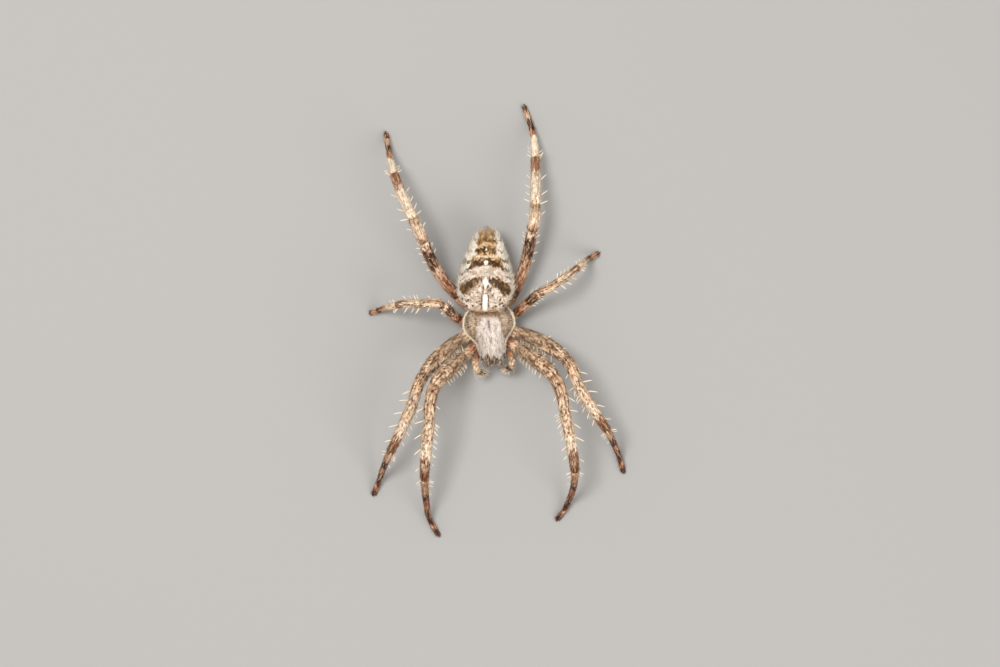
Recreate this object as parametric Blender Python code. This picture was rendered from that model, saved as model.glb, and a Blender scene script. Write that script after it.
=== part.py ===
"""Cross orb weaver spider (Araneus diadematus), female, life size, standing still on its eight feet.

Blender 4.5, metres, +Z up, head towards -Y, the spider's left towards +X. Sizes are in millimetres until a
mesh is made. The origin is on the floor, under the middle of the whole spider. The animal is modelled whole
and parted at its joints by thin cuts, one object for each part that has a name.
"""

import math

import bmesh
import bpy
import numpy as np
from mathutils import Matrix, Vector
from mathutils.bvhtree import BVHTree

MM = 0.001
CUT = 0.1  # width of the thin cut between two parts of the body
LEG_SIDES = 10
SIDES = {"left": 1, "right": -1}

# The front body (cephalothorax). Its own frame has its origin above the waist, "ahead" towards the face and
# "aside" towards the spider's left. The front body is turned a little to the spider's left on the waist.
FRONT_TURN = math.radians(7)
MARGIN_LEVEL = 2.5  # height of the carapace's side rim over the floor
UNDERSIDE_LEVEL = 2.38
# ahead: half width of the rim, height of the thorax over the rim, height of the head over the thorax,
# half width of the head, and how far the underside hangs below its sides
CARAPACE_STATIONS = {
    -0.55: (0.55, 0.12, 0.00, 0.90, 0.36),
    -0.40: (1.00, 0.32, 0.00, 0.90, 0.42),
    -0.10: (1.55, 0.62, 0.00, 0.90, 0.42),
    0.35: (2.04, 0.92, 0.00, 0.95, 0.34),
    0.90: (2.28, 1.14, 0.02, 1.00, 0.24),
    1.40: (2.34, 1.22, 0.10, 1.05, 0.22),
    1.95: (2.20, 1.16, 0.30, 1.10, 0.22),
    2.45: (1.80, 1.02, 0.56, 1.12, 0.22),
    2.90: (1.45, 0.90, 0.74, 1.14, 0.20),
    3.40: (1.30, 0.84, 0.82, 1.14, 0.16),
    3.95: (1.21, 0.76, 0.80, 1.12, 0.10),
    4.40: (1.13, 0.64, 0.70, 1.06, 0.04),
    4.72: (1.03, 0.48, 0.52, 0.98, 0.02),
    4.90: (0.88, 0.30, 0.34, 0.88, 0.00),
    4.97: (0.72, 0.18, 0.22, 0.80, 0.00),
}

STERNUM_TOP = 2.08
# ahead: half width, depth below the sternum's top
STERNUM_STATIONS = {
    0.75: (0.10, 0.40),
    0.95: (0.22, 0.66),
    1.45: (0.52, 0.84),
    2.10: (0.66, 0.90),
    2.70: (0.60, 0.86),
    3.02: (0.46, 0.74),
    3.12: (0.38, 0.62),
}
MOUTHPART_TOP = 2.18
MOUTHPART_STATIONS = {
    3.24: (0.50, 0.66),
    3.42: (0.66, 0.90),
    3.75: (0.80, 1.02),
    3.98: (0.78, 0.94),
    4.08: (0.66, 0.78),
}

# The abdomen, from its front, which overhangs the carapace, to its rear tip, along +Y in the whole
# spider's frame.
ABDOMEN_FRONT = -0.36
ABDOMEN_LENGTH = 7.2
ABDOMEN_ASIDE = -0.18  # how far aside of the waist the front of its midline is; its rear tip is at 0
# share of the length: half width, height of the back over the floor, height of the belly over the floor
ABDOMEN_STATIONS = {
    0.000: (0.90, 4.42, 3.92),
    0.025: (1.46, 4.72, 3.60),
    0.065: (1.80, 4.98, 3.28),
    0.120: (2.04, 5.18, 2.88),
    0.200: (2.30, 5.36, 2.25),
    0.290: (2.47, 5.44, 1.62),
    0.420: (2.36, 5.40, 1.12),
    0.560: (2.07, 5.24, 0.94),
    0.680: (1.78, 4.98, 1.00),
    0.790: (1.47, 4.62, 1.24),
    0.890: (1.18, 4.18, 1.62),
    0.955: (0.86, 3.76, 2.02),
    0.988: (0.52, 3.40, 2.38),
    1.000: (0.22, 3.12, 2.66),
}

# Lengths of each pair's femur, patella, tibia, metatarsus and tarsus, the same on both sides.
LEG_LENGTHS = {
    "1": (5.9, 3.05, 5.65, 4.85, 2.1),
    "2": (5.6, 2.5, 5.1, 4.1, 1.75),
    "3": (3.4, 2.0, 2.5, 2.7, 1.3),
    "4": (6.1, 2.4, 4.4, 3.3, 1.95),
}
# For each segment: radius at its start and its end, and how much it swells between them.
LEG_RADII = {
    "1": ((0.52, 0.55, 0.17), (0.53, 0.49, 0.05), (0.49, 0.41, 0.05), (0.36, 0.29, 0.0), (0.27, 0.265, 0.0)),
    "2": ((0.52, 0.53, 0.16), (0.52, 0.48, 0.05), (0.48, 0.40, 0.04), (0.35, 0.28, 0.0), (0.27, 0.265, 0.0)),
    "3": ((0.40, 0.40, 0.05), (0.39, 0.37, 0.03), (0.37, 0.32, 0.02), (0.30, 0.27, 0.0), (0.265, 0.265, 0.0)),
    "4": ((0.46, 0.47, 0.05), (0.48, 0.46, 0.05), (0.46, 0.42, 0.02), (0.36, 0.28, 0.0), (0.27, 0.265, 0.0)),
}
# Where each coxa starts beside the sternum, in the front body's frame: aside, ahead, and its radius there.
COXA_ROOTS = {
    "1": (0.77, 2.82, 0.34),
    "2": (0.82, 2.11, 0.33),
    "3": (0.70, 1.50, 0.30),
    "4": (0.40, 0.94, 0.26),
}
COXA_ROOT_LEVEL = 1.64
HIP_LEVEL = 1.78
COXA_SWELL = 0.06

# The pose of each leg. Hip: where coxa and trochanter end, aside and ahead in the front body's frame.
# Headings, in degrees from straight ahead (-Y), are positive outwards, and climbs are in degrees over the
# level, for the femur, patella, tibia, metatarsus and tarsus. The climb of each metatarsus is None,
# because it is what lets the foot down to the floor. Bows: how far the middle of each segment stands
# outwards of its straight line, in mm.
POSES = {
    "leg1_left": {
        "hip": (2.35, 3.80),
        "headings": (50.5, 17, 10, -10, -31),
        "climbs": (49, 6, -18, None, -20),
        "bows": (0.05, 0.14, 0.07, 0.08, 0.06),
    },
    "leg1_right": {
        "hip": (2.58, 3.93),
        "headings": (43.5, 9, 5, -5, -27),
        "climbs": (54, 3, -24, None, -22),
        "bows": (0.03, 0.12, 0.05, 0.0, 0.04),
    },
    "leg2_left": {
        "hip": (2.42, 2.46),
        "headings": (61, 26, 32.5, 25.5, 16),
        "climbs": (33, 20, -18, None, -25),
        "bows": (0.16, 0.08, -0.08, 0.0, 0.0),
    },
    "leg2_right": {
        "hip": (2.44, 2.34),
        "headings": (46, 22, 24.7, 23, 21),
        "climbs": (36, 8, -15, None, -27),
        "bows": (0.13, 0.12, -0.05, 0.04, 0.0),
    },
    "leg3_left": {
        "hip": (2.34, 0.84),
        "headings": (130.5, 120.5, 126.5, 129, 120.5),
        "climbs": (34, 24, -29, None, -37),
        "bows": (0.06, -0.04, -0.04, 0.0, 0.0),
    },
    "leg3_right": {
        "hip": (2.50, 0.72),
        "headings": (130.5, 94.5, 88, 76, 72),
        "climbs": (58, -3, -34, None, -38),
        "bows": (-0.04, 0.16, 0.08, 0.0, 0.0),
    },
    "leg4_left": {
        "hip": (2.28, -0.74),
        "headings": (163, 172.5, 180, 187, 198.5),
        "climbs": (16, 8, -22, None, -12),
        "bows": (-0.2, -0.08, 0.0, -0.06, 0.02),
    },
    "leg4_right": {
        "hip": (2.36, -1.26),
        "headings": (147.7, 155.3, 157, 166, 170.5),
        "climbs": (25, 15, -19, None, -30),
        "bows": (-0.28, 0.04, -0.04, 0.0, 0.0),
    },
}
RING_SHARES = (0.0, 0.14, 0.3, 0.5, 0.7, 0.86, 1.0)  # places of the rings along a segment's curve
SHORT_SHARES = (0.0, 0.2, 0.5, 0.8, 1.0)
TIP_SHARES = (0.0, 0.2, 0.5, 0.78, 0.9, 1.0)
SHORT_SEGMENT = 2.6  # shorter segments have fewer rings
JOINT_PULL = 1.8  # how far from a joint a segment starts to bend towards its neighbour
FOOT_RADIUS = 0.15  # of the tarsus at its rounded tip
FOOT_SINK = 0.06  # how much of the tip is cut off flat on the floor

# The feelers (pedipalps) and jaws, in the front body's frame: aside, ahead, height, radius.
PALP_LINE = (
    (1.16, 3.98, 1.75, 0.25),
    (1.34, 4.06, 2.15, 0.26),
    (1.52, 4.28, 2.62, 0.30),
    (1.60, 4.62, 2.92, 0.31),
    (1.60, 4.92, 2.88, 0.33),
    (1.50, 5.24, 2.50, 0.33),
    (1.32, 5.42, 2.10, 0.31),
    (1.12, 5.50, 1.72, 0.29),
    (0.95, 5.50, 1.42, 0.26),
    (0.84, 5.46, 1.22, 0.18),
)
JAW_LINE = (
    (0.47, 4.56, 2.28, 0.36),
    (0.48, 4.62, 2.00, 0.41),
    (0.49, 4.66, 1.60, 0.43),
    (0.47, 4.68, 1.20, 0.39),
    (0.44, 4.68, 0.92, 0.31),
    (0.42, 4.68, 0.80, 0.22),
)
FANG_LINE = (
    (0.40, 4.66, 0.70, 0.14),
    (0.34, 4.60, 0.56, 0.12),
    (0.26, 4.48, 0.46, 0.09),
    (0.18, 4.34, 0.42, 0.05),
)

# Eyes: aside and ahead of the place they look out from, the direction they look in (degrees outwards from
# straight ahead, and degrees over the level), and radius. Each is given for the left and mirrored for the
# right.
EYES = {
    "eye_front_middle": (0.19, 4.45, 12, 30, 0.125),
    "eye_rear_middle": (0.16, 4.18, 30, 62, 0.12),
    "eye_front_side": (0.80, 4.30, 32, 18, 0.10),
    "eye_rear_side": (0.84, 4.12, 62, 34, 0.10),
}
EYE_CENTRE_LEVEL = 3.05
EYE_GAP = 0.03
EYE_BULGE = 0.75  # height of the dome, as a share of its radius

PEDICEL_START = (-0.07, 0.64, 2.2)
PEDICEL_END = (0.0, 1.14, 2.06)
PEDICEL_RADIUS = 0.27

SPINNERET_TOP = (0.0, 5.55, 1.21)
SPINNERET_TIP = (0.0, 5.91, 0.61)
SPINNERET_RADIUS = 0.42
SPINNERET_LOBES = 0.12

MATERIALS = {
    "pale_hair": ((0.62, 0.55, 0.46), 0.7),
    "belly_skin": ((0.30, 0.22, 0.15), 0.7),
    "abdomen_skin": ((0.66, 0.56, 0.42), 0.65),
    "leg_skin": ((0.52, 0.38, 0.25), 0.6),
    "jaw_shell": ((0.20, 0.12, 0.06), 0.35),
    "eye_lens": ((0.02, 0.012, 0.01), 0.08),
}


def clear_scene():
    """Remove every object that the scene starts with."""
    for obj in list(bpy.data.objects):
        bpy.data.objects.remove(obj, do_unlink=True)


def make_material(name):
    """A Principled material with this part's colour and roughness."""
    colour, roughness = MATERIALS[name]
    material = bpy.data.materials.new(name)
    material.use_nodes = True
    shader = material.node_tree.nodes["Principled BSDF"]
    shader.inputs["Base Color"].default_value = (*colour, 1.0)
    shader.inputs["Roughness"].default_value = roughness
    shader.inputs["Metallic"].default_value = 0.0
    return material


def front_to_whole(points):
    """Turn points (aside, ahead, height) of the front body's frame into the whole spider's frame."""
    points = np.asarray(points, float)
    aside, ahead, height = points[..., 0], points[..., 1], points[..., 2]
    turn_cos, turn_sin = math.cos(FRONT_TURN), math.sin(FRONT_TURN)
    return np.stack(
        [aside * turn_cos + ahead * turn_sin, aside * turn_sin - ahead * turn_cos, height],
        axis=-1,
    )


def loft(name, rings, material):
    """Make a closed solid through a stack of rings of equally many points, with a flat cap at each end."""
    bm = bmesh.new()
    loops = [[bm.verts.new(Vector(point) * MM) for point in ring] for ring in rings]
    for lower, upper in zip(loops[:-1], loops[1:]):
        for i in range(len(lower)):
            j = (i + 1) % len(lower)
            bm.faces.new((lower[i], lower[j], upper[j], upper[i]))
    bm.faces.new(reversed(loops[0]))
    bm.faces.new(loops[-1])
    return finish(name, bm, material)


def finish(name, bm, material):
    """Triangulate a bmesh, point its faces outwards, shade it smooth and link it as a part of the spider."""
    bmesh.ops.recalc_face_normals(bm, faces=bm.faces)
    bmesh.ops.triangulate(bm, faces=bm.faces)
    mesh = bpy.data.meshes.new(name)
    bm.to_mesh(mesh)
    bm.free()
    mesh.shade_smooth()
    mesh.set_sharp_from_angle(angle=math.radians(50))
    mesh.materials.append(material)
    obj = bpy.data.objects.new(name, mesh)
    bpy.context.scene.collection.objects.link(obj)
    return obj


def rings_along(centres, directions, radii, sides, lobes=0.0):
    """Rings of points round each centre, square to its direction. Lobes make the outline wavy six times."""
    angles = np.linspace(0, 2 * math.pi, sides, endpoint=False)
    wave = 1 + lobes * np.cos(6 * angles)
    rings = []
    for centre, direction, radius in zip(centres, directions, radii):
        direction = np.asarray(direction) / np.linalg.norm(direction)
        level = np.cross(direction, (0.0, 0.0, 1.0))
        if np.linalg.norm(level) < 0.01:
            level = np.array((1.0, 0.0, 0.0))
        level /= np.linalg.norm(level)
        upright = np.cross(level, direction)
        outline = np.outer(np.cos(angles) * wave, level) + np.outer(np.sin(angles) * wave, upright)
        rings.append(np.asarray(centre) + radius * outline)
    return rings


def tube(name, line, material, sides=10):
    """A tube along a line of (x, y, z, radius), whose rings stand square to the line's own direction."""
    line = np.asarray(line, float)
    centres = line[:, :3]
    directions = np.gradient(centres, axis=0)
    return loft(name, rings_along(centres, directions, line[:, 3], sides), material)


def mirrored(line, side):
    """The same line of the front body's frame on the spider's left or right, in the whole spider's frame."""
    line = np.array(line, float)
    line[:, 0] *= SIDES[side]
    line[:, :3] = front_to_whole(line[:, :3])
    return line


def carapace_height(across, thorax, head, head_half_width, half_width):
    """Height of the carapace over its rim, where across runs from -1 at one rim to 1 at the other.

    The thorax is a low arch. The head is a second arch with steep sides on top of it.
    """
    arch = np.sqrt(np.clip(1 - across**2, 0, 1)) ** 1.15
    head_across = across * half_width / head_half_width
    crown = np.exp(-((np.abs(head_across) / 0.92) ** 4))
    return thorax * arch + head * crown * np.clip(arch * 1.6, 0, 1)


def make_carapace(material):
    """The shield over the front body, with its flat underside. Its rings run from the rear to the face."""
    ahead = sorted(CARAPACE_STATIONS)
    across = np.sin(np.linspace(-math.pi / 2, math.pi / 2, 17))
    under = np.linspace(0.9, -0.9, 5)
    rings = []
    for place in ahead:
        half_width, thorax, head, head_half_width, hang = CARAPACE_STATIONS[place]
        top = MARGIN_LEVEL + carapace_height(across, thorax, head, head_half_width, half_width)
        bottom = UNDERSIDE_LEVEL - hang * (1 - under**2) ** 1.5
        aside = np.concatenate([across * half_width, under * half_width])
        height = np.concatenate([top, bottom])
        ring = np.stack([aside, np.full(len(aside), place), height], axis=-1)
        rings.append(front_to_whole(ring))
    return loft("carapace", rings, material)


def make_plate(name, stations, top, material):
    """A plate under the front body: flat on top, with a rounded underside."""
    angles = np.linspace(math.pi, 2 * math.pi, 9)
    rings = []
    for place in sorted(stations):
        half_width, depth = stations[place]
        aside = half_width * np.sign(np.cos(angles)) * np.abs(np.cos(angles)) ** 0.7
        height = top - 0.25 * depth + 0.75 * depth * np.sin(angles)
        aside = np.concatenate([aside, [half_width * 0.9, -half_width * 0.9]])
        height = np.concatenate([height, [top, top]])
        ring = np.stack([aside, np.full(len(aside), place), height], axis=-1)
        rings.append(front_to_whole(ring))
    return loft(name, rings, material)


def abdomen_rings():
    """Rings of the abdomen from front to rear. Each is an egg shape, widest a little above its middle."""
    angles = np.linspace(0, 2 * math.pi, 24, endpoint=False)
    rings = []
    for share in sorted(ABDOMEN_STATIONS):
        half_width, back, belly = ABDOMEN_STATIONS[share]
        widest = belly + 0.54 * (back - belly)
        rise = np.where(np.sin(angles) > 0, back - widest, widest - belly)
        lower = np.clip(-np.sin(angles), 0, 1)
        aside = half_width * np.cos(angles) * (1 - 0.12 * lower) + ABDOMEN_ASIDE * (1 - share)
        ring = np.stack(
            [
                aside,
                np.full(len(angles), ABDOMEN_FRONT + share * ABDOMEN_LENGTH),
                widest + rise * np.sin(angles),
            ],
            axis=-1,
        )
        rings.append(ring)
    return rings


def make_pedicel(material):
    """The narrow waist between the front body and the abdomen."""
    start, end = np.array(PEDICEL_START), np.array(PEDICEL_END)
    centres = [start, (start + end) / 2, end]
    directions = [(0, 1, 0), (0, 1, 0.2), (0, 1, 1)]
    radii = (PEDICEL_RADIUS, PEDICEL_RADIUS * 0.95, PEDICEL_RADIUS)
    return loft("pedicel", rings_along(centres, directions, radii, 10), material)


def make_spinnerets(material):
    """The cluster of six spinnerets under the abdomen's rear, as one six-lobed cone."""
    top, tip = np.array(SPINNERET_TOP), np.array(SPINNERET_TIP)
    shares = (0.0, 0.35, 0.75, 1.0)
    radii = [SPINNERET_RADIUS * size for size in (1.0, 0.92, 0.66, 0.34)]
    centres = [top + share * (tip - top) for share in shares]
    rings = rings_along(centres, [tip - top] * 4, radii, 18, SPINNERET_LOBES)
    return loft("spinnerets", rings, material)


def make_eye(name, side, carapace_tree, material):
    """A domed lens that stands on the carapace where its line of sight leaves the head."""
    aside, ahead, outwards, upwards, radius = EYES[name]
    outwards, upwards = math.radians(outwards), math.radians(upwards)
    sight = (
        math.sin(outwards) * math.cos(upwards) * SIDES[side],
        math.cos(outwards) * math.cos(upwards),
        math.sin(upwards),
    )
    origin = Vector(front_to_whole((aside * SIDES[side], ahead, EYE_CENTRE_LEVEL)))
    sight = Vector(front_to_whole(sight)).normalized()
    outside = (origin + sight * 4) * MM
    surface, _, _, _ = carapace_tree.ray_cast(outside, -sight)
    base = surface / MM + sight * EYE_GAP
    bm = bmesh.new()
    bmesh.ops.create_uvsphere(bm, u_segments=12, v_segments=8, radius=radius)
    everything = bm.verts[:] + bm.edges[:] + bm.faces[:]
    bmesh.ops.bisect_plane(bm, geom=everything, plane_co=(0, 0, 0), plane_no=(0, 0, 1), clear_inner=True)
    rim = [edge for edge in bm.edges if edge.is_boundary]
    bmesh.ops.contextual_create(bm, geom=rim)
    bmesh.ops.scale(bm, vec=(1, 1, EYE_BULGE), verts=bm.verts)
    turn = sight.to_track_quat("Z", "Y").to_matrix().to_4x4()
    bmesh.ops.transform(bm, matrix=Matrix.Scale(MM, 4) @ Matrix.Translation(base) @ turn, verts=bm.verts)
    return finish(f"{name}_{side}", bm, material)


def heading_vector(heading, climb, side):
    """The direction of a leg's segment from its heading and climb in degrees."""
    heading, climb = math.radians(heading), math.radians(climb)
    return np.array(
        (
            SIDES[side] * math.sin(heading) * math.cos(climb),
            -math.cos(heading) * math.cos(climb),
            math.sin(climb),
        )
    )


def metatarsus_climb(hip_height, lengths, climbs):
    """The metatarsus's climb in degrees that puts the rounded tip of the tarsus down on the floor."""
    fall = hip_height - (FOOT_RADIUS - FOOT_SINK)
    for length, climb in zip(lengths, climbs):
        if climb is not None:
            fall += length * math.sin(math.radians(climb))
    return -math.degrees(math.asin(fall / lengths[climbs.index(None)]))


def leg_joints(leg):
    """The points where the coxa starts and where each segment of a leg starts and ends, and its radii."""
    pair, side = leg[3], leg.split("_")[1]
    pose, lengths = POSES[leg], LEG_LENGTHS[pair]
    aside, ahead, root_radius = COXA_ROOTS[pair]
    root = front_to_whole((aside * SIDES[side], ahead, COXA_ROOT_LEVEL))
    hip = front_to_whole((pose["hip"][0] * SIDES[side], pose["hip"][1], HIP_LEVEL))
    climbs = list(pose["climbs"])
    climbs[3] = metatarsus_climb(HIP_LEVEL, lengths, climbs)
    points = [root, hip]
    for length, heading, climb in zip(lengths, pose["headings"], climbs):
        points.append(points[-1] + length * heading_vector(heading, climb, side))
    radii = [(root_radius, LEG_RADII[pair][0][0] + 0.02, COXA_SWELL)] + list(LEG_RADII[pair])
    bows = [0.0] + list(pose["bows"])
    return points, radii, bows, side


def segment_rings(start, end, leave, arrive, radii, bow, side, tip=False):
    """The rings of one leg segment.

    Its centre line is a cubic curve that leaves one joint and arrives at the next in directions halfway
    between this segment's and its neighbour's, so that the faces on both sides of a cut are parallel. The bow
    is added outwards.
    """
    start_radius, end_radius, swell = radii
    length = np.linalg.norm(end - start)
    along = (end - start) / length
    leave, arrive = leave / np.linalg.norm(leave), arrive / np.linalg.norm(arrive)
    outwards = np.cross(along, (0.0, 0.0, 1.0))
    outwards *= -SIDES[side] / np.linalg.norm(outwards)
    shares = np.array(TIP_SHARES if tip else SHORT_SHARES if length < SHORT_SEGMENT else RING_SHARES)
    pull = min(JOINT_PULL, 0.8 * length)
    t = shares[:, None]
    start, end = start + leave * CUT / 2, end - (0 if tip else arrive * CUT / 2)
    centres = start * (2 * t**3 - 3 * t**2 + 1) + end * (3 * t**2 - 2 * t**3)
    centres += pull * (leave * (t**3 - 2 * t**2 + t) + arrive * (t**3 - t**2))
    slopes = (end - start) * (6 * t - 6 * t**2)
    slopes += pull * (leave * (3 * t**2 - 4 * t + 1) + arrive * (3 * t**2 - 2 * t))
    centres += bow * (4 * t * (1 - t)) ** 2 * outwards
    slopes += bow * 32 * t * (1 - t) * (1 - 2 * t) * outwards
    reach = 3 * shares**2 - 2 * shares**3
    sizes = start_radius + (end_radius - start_radius) * reach + swell * np.sin(math.pi * shares)
    if tip:
        sizes[-2:] = (end_radius + FOOT_RADIUS) / 2, FOOT_RADIUS
    return rings_along(centres, slopes, sizes, LEG_SIDES)


def flatten_foot(bm):
    """Cut the tip of a tarsus off flat on the floor."""
    everything = bm.verts[:] + bm.edges[:] + bm.faces[:]
    bmesh.ops.bisect_plane(bm, geom=everything, plane_co=(0, 0, 0), plane_no=(0, 0, 1), clear_inner=True)
    rim = [edge for edge in bm.edges if edge.is_boundary]
    bmesh.ops.contextual_create(bm, geom=rim)


def make_leg(leg, material):
    """One leg: coxa with trochanter, femur, patella, tibia, and the foot of metatarsus and tarsus in one."""
    points, radii, bows, side = leg_joints(leg)
    alongs = [(b - a) / np.linalg.norm(b - a) for a, b in zip(points[:-1], points[1:])]
    turns = [alongs[0]] + [a + b for a, b in zip(alongs[:-1], alongs[1:])] + [alongs[-1]]
    segments = []
    for i, start in enumerate(points[:-1]):
        last = i == len(points) - 2
        segments.append(
            segment_rings(start, points[i + 1], turns[i], turns[i + 1], radii[i], bows[i], side, last)
        )
    for name, rings in zip(("coxa", "femur", "patella", "tibia"), segments):
        loft(f"{leg}_{name}", rings, material)
    ankle = (segments[4][-1] + segments[5][0]) / 2
    foot = loft(f"{leg}_foot", segments[4][:-1] + [ankle] + segments[5][1:], material)
    bm = bmesh.new()
    bm.from_mesh(foot.data)
    flatten_foot(bm)
    bmesh.ops.triangulate(bm, faces=bm.faces)
    bm.to_mesh(foot.data)
    bm.free()


def stand_at_origin():
    """Parent every part to one empty, moved so that the origin is on the floor under the spider's middle."""
    parts = [obj for obj in bpy.data.objects if obj.type == "MESH"]
    corners = np.array([Vector(corner) for obj in parts for corner in obj.bound_box])
    middle = (corners.min(axis=0) + corners.max(axis=0)) / 2
    spider = bpy.data.objects.new("spider", None)
    bpy.context.scene.collection.objects.link(spider)
    for obj in parts:
        obj.parent = spider
    spider.location = (-middle[0], -middle[1], 0.0)


clear_scene()
materials = {name: make_material(name) for name in MATERIALS}

carapace = make_carapace(materials["pale_hair"])
make_plate("sternum", STERNUM_STATIONS, STERNUM_TOP, materials["belly_skin"])
make_plate("mouthparts", MOUTHPART_STATIONS, MOUTHPART_TOP, materials["jaw_shell"])
make_pedicel(materials["leg_skin"])
loft("abdomen", abdomen_rings(), materials["abdomen_skin"])
make_spinnerets(materials["belly_skin"])

carapace_mesh = bmesh.new()
carapace_mesh.from_mesh(carapace.data)
carapace_tree = BVHTree.FromBMesh(carapace_mesh)
carapace_mesh.free()
for side in SIDES:
    for eye in EYES:
        make_eye(eye, side, carapace_tree, materials["eye_lens"])
    tube(f"chelicera_{side}", mirrored(JAW_LINE, side), materials["jaw_shell"], 12)
    tube(f"fang_{side}", mirrored(FANG_LINE, side), materials["jaw_shell"], 8)
    tube(f"pedipalp_{side}", mirrored(PALP_LINE, side), materials["leg_skin"], 10)

for leg in POSES:
    make_leg(leg, materials["leg_skin"])

stand_at_origin()
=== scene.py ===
"""Looks of the cross orb weaver spider (Araneus diadematus), dressed over its solid model.

Lengths are in millimetres until a mesh is made. The spider's own places are measured from its waist: +X is
its left, +Y runs to the spinnerets and +Z is up from the floor.
"""

import math

import bpy
import numpy as np
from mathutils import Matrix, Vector


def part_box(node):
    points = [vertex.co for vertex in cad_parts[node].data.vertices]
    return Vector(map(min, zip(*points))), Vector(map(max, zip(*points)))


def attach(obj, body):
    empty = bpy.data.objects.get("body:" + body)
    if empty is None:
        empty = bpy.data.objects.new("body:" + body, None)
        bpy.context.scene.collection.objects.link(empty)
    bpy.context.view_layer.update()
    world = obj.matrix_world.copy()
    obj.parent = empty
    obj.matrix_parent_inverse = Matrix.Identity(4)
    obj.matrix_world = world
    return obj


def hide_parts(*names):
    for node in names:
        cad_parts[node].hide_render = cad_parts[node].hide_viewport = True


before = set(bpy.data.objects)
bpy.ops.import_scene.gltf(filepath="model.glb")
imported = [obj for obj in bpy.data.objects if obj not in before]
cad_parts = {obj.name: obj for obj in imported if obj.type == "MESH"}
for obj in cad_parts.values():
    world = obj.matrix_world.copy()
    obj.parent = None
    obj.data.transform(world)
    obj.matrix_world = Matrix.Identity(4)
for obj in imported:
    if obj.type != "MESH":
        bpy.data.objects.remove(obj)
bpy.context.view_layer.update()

# ---- Camera. It looks straight down on the spider's back from a third of a metre, with the spider's rear
# towards the top of the frame and its face towards the bottom. Its aim is a little ahead of the waist.
MM = 0.001
PEDICEL_START, PEDICEL_SOLID_RADIUS = (-0.07, 0.64), 0.27
CAMERA_AIM, CAMERA_HEIGHT = (1.13, -2.22), 342.5
CAMERA_LENS, SENSOR_WIDTH, CLIP_START = 140.8, 36.0, 10.0

pedicel_low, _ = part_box("pedicel")
waist_x = pedicel_low.x - (PEDICEL_START[0] - PEDICEL_SOLID_RADIUS) * MM
WAIST = np.array([waist_x, pedicel_low.y - PEDICEL_START[1] * MM, 0.0])


def put_in_scene(name, data):
    """Make an object of a mesh, camera or lamp and link it to the scene."""
    made = bpy.data.objects.new(name, data)
    bpy.context.scene.collection.objects.link(made)
    return made


camera_data = bpy.data.cameras.new("camera")
camera_data.sensor_width = SENSOR_WIDTH
camera_data.lens = CAMERA_LENS
camera_data.clip_start = CLIP_START * MM
camera = put_in_scene("camera", camera_data)
camera.location = (WAIST[0] + CAMERA_AIM[0] * MM, WAIST[1] + CAMERA_AIM[1] * MM, CAMERA_HEIGHT * MM)
bpy.context.scene.camera = camera

# ---- Floor. A plain pale sheet of matt paper under the spider's feet, wide enough to fill every view. It
# isn't part of the spider.
FLOOR_HALF = 1500.0


def linear(code):
    """A colour's linear RGBA from its sRGB hex code: (c/12.92) near black, else ((c+0.055)/1.055)^2.4."""
    parts = np.array([int(code[i : i + 2], 16) for i in (1, 3, 5)]) / 255
    parts = np.where(parts <= 0.04045, parts / 12.92, ((parts + 0.055) / 1.055) ** 2.4)
    return (*parts.tolist(), 1.0)


def add_node(tree, kind, settings, inputs):
    """Add one node, set its settings, and give each input a value or a link from another node's socket."""
    node = tree.nodes.new(kind)
    for name, value in settings.items():
        setattr(node, name, value)
    for name, value in inputs.items():
        if isinstance(value, bpy.types.NodeSocket):
            tree.links.new(value, node.inputs[name])
        else:
            node.inputs[name].default_value = value
    return node


def new_material(name, roughness, ior=1.5, colour="#FFFFFF"):
    """A Principled material of one roughness, IOR and colour. A painted one has its colour linked later."""
    material = bpy.data.materials.new(name)
    material.use_nodes = True
    shader = material.node_tree.nodes["Principled BSDF"]
    shader.inputs["Base Color"].default_value = linear(colour)
    shader.inputs["Roughness"].default_value = roughness
    shader.inputs["IOR"].default_value = ior
    shader.inputs["Metallic"].default_value = 0.0
    return material, material.node_tree, shader


# paper without gloss shows only the spider's soft shadow
paper, _, _ = new_material("matt paper floor", 0.9, colour="#A4A29F")
floor_mesh = bpy.data.meshes.new("floor")
floor_corners = np.array([(-1, -1, 0), (1, -1, 0), (1, 1, 0), (-1, 1, 0)]) * FLOOR_HALF * MM
floor_mesh.from_pydata(floor_corners.tolist(), [], [(0, 1, 2, 3)])
floor_mesh.materials.append(paper)
put_in_scene("floor", floor_mesh)

# ---- Light. One big soft lamp stands over the spider's right rear, a weaker and wider one opposite, and an
# even pale sky fills the shadows.
SKY_STRENGTH = 0.66
LAMPS = {
    # name: place from the waist in mm, width in mm, watts
    "key": ((-95.0, 60.0, 335.0), 130.0, 0.9),
    "fill": ((200.0, -200.0, 230.0), 260.0, 0.58),
}
for lamp_name, (lamp_place, lamp_width, lamp_watts) in LAMPS.items():
    lamp_data = bpy.data.lights.new(lamp_name, "AREA")
    lamp_data.shape = "DISK"
    lamp_data.size = lamp_width * MM
    lamp_data.energy = lamp_watts
    lamp = put_in_scene(lamp_name, lamp_data)
    lamp.location = (np.array(lamp_place) * MM + WAIST).tolist()
    lamp.rotation_mode = "QUATERNION"
    lamp.rotation_quaternion = (-Vector(lamp_place)).to_track_quat("-Z", "Y")
sky = bpy.data.worlds.new("soft sky")
sky.use_nodes = True
sky.node_tree.nodes["Background"].inputs["Color"].default_value = linear("#F5F3F0")
sky.node_tree.nodes["Background"].inputs["Strength"].default_value = SKY_STRENGTH
bpy.context.scene.world = sky
bpy.context.scene.view_settings.view_transform = "Standard"

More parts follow.
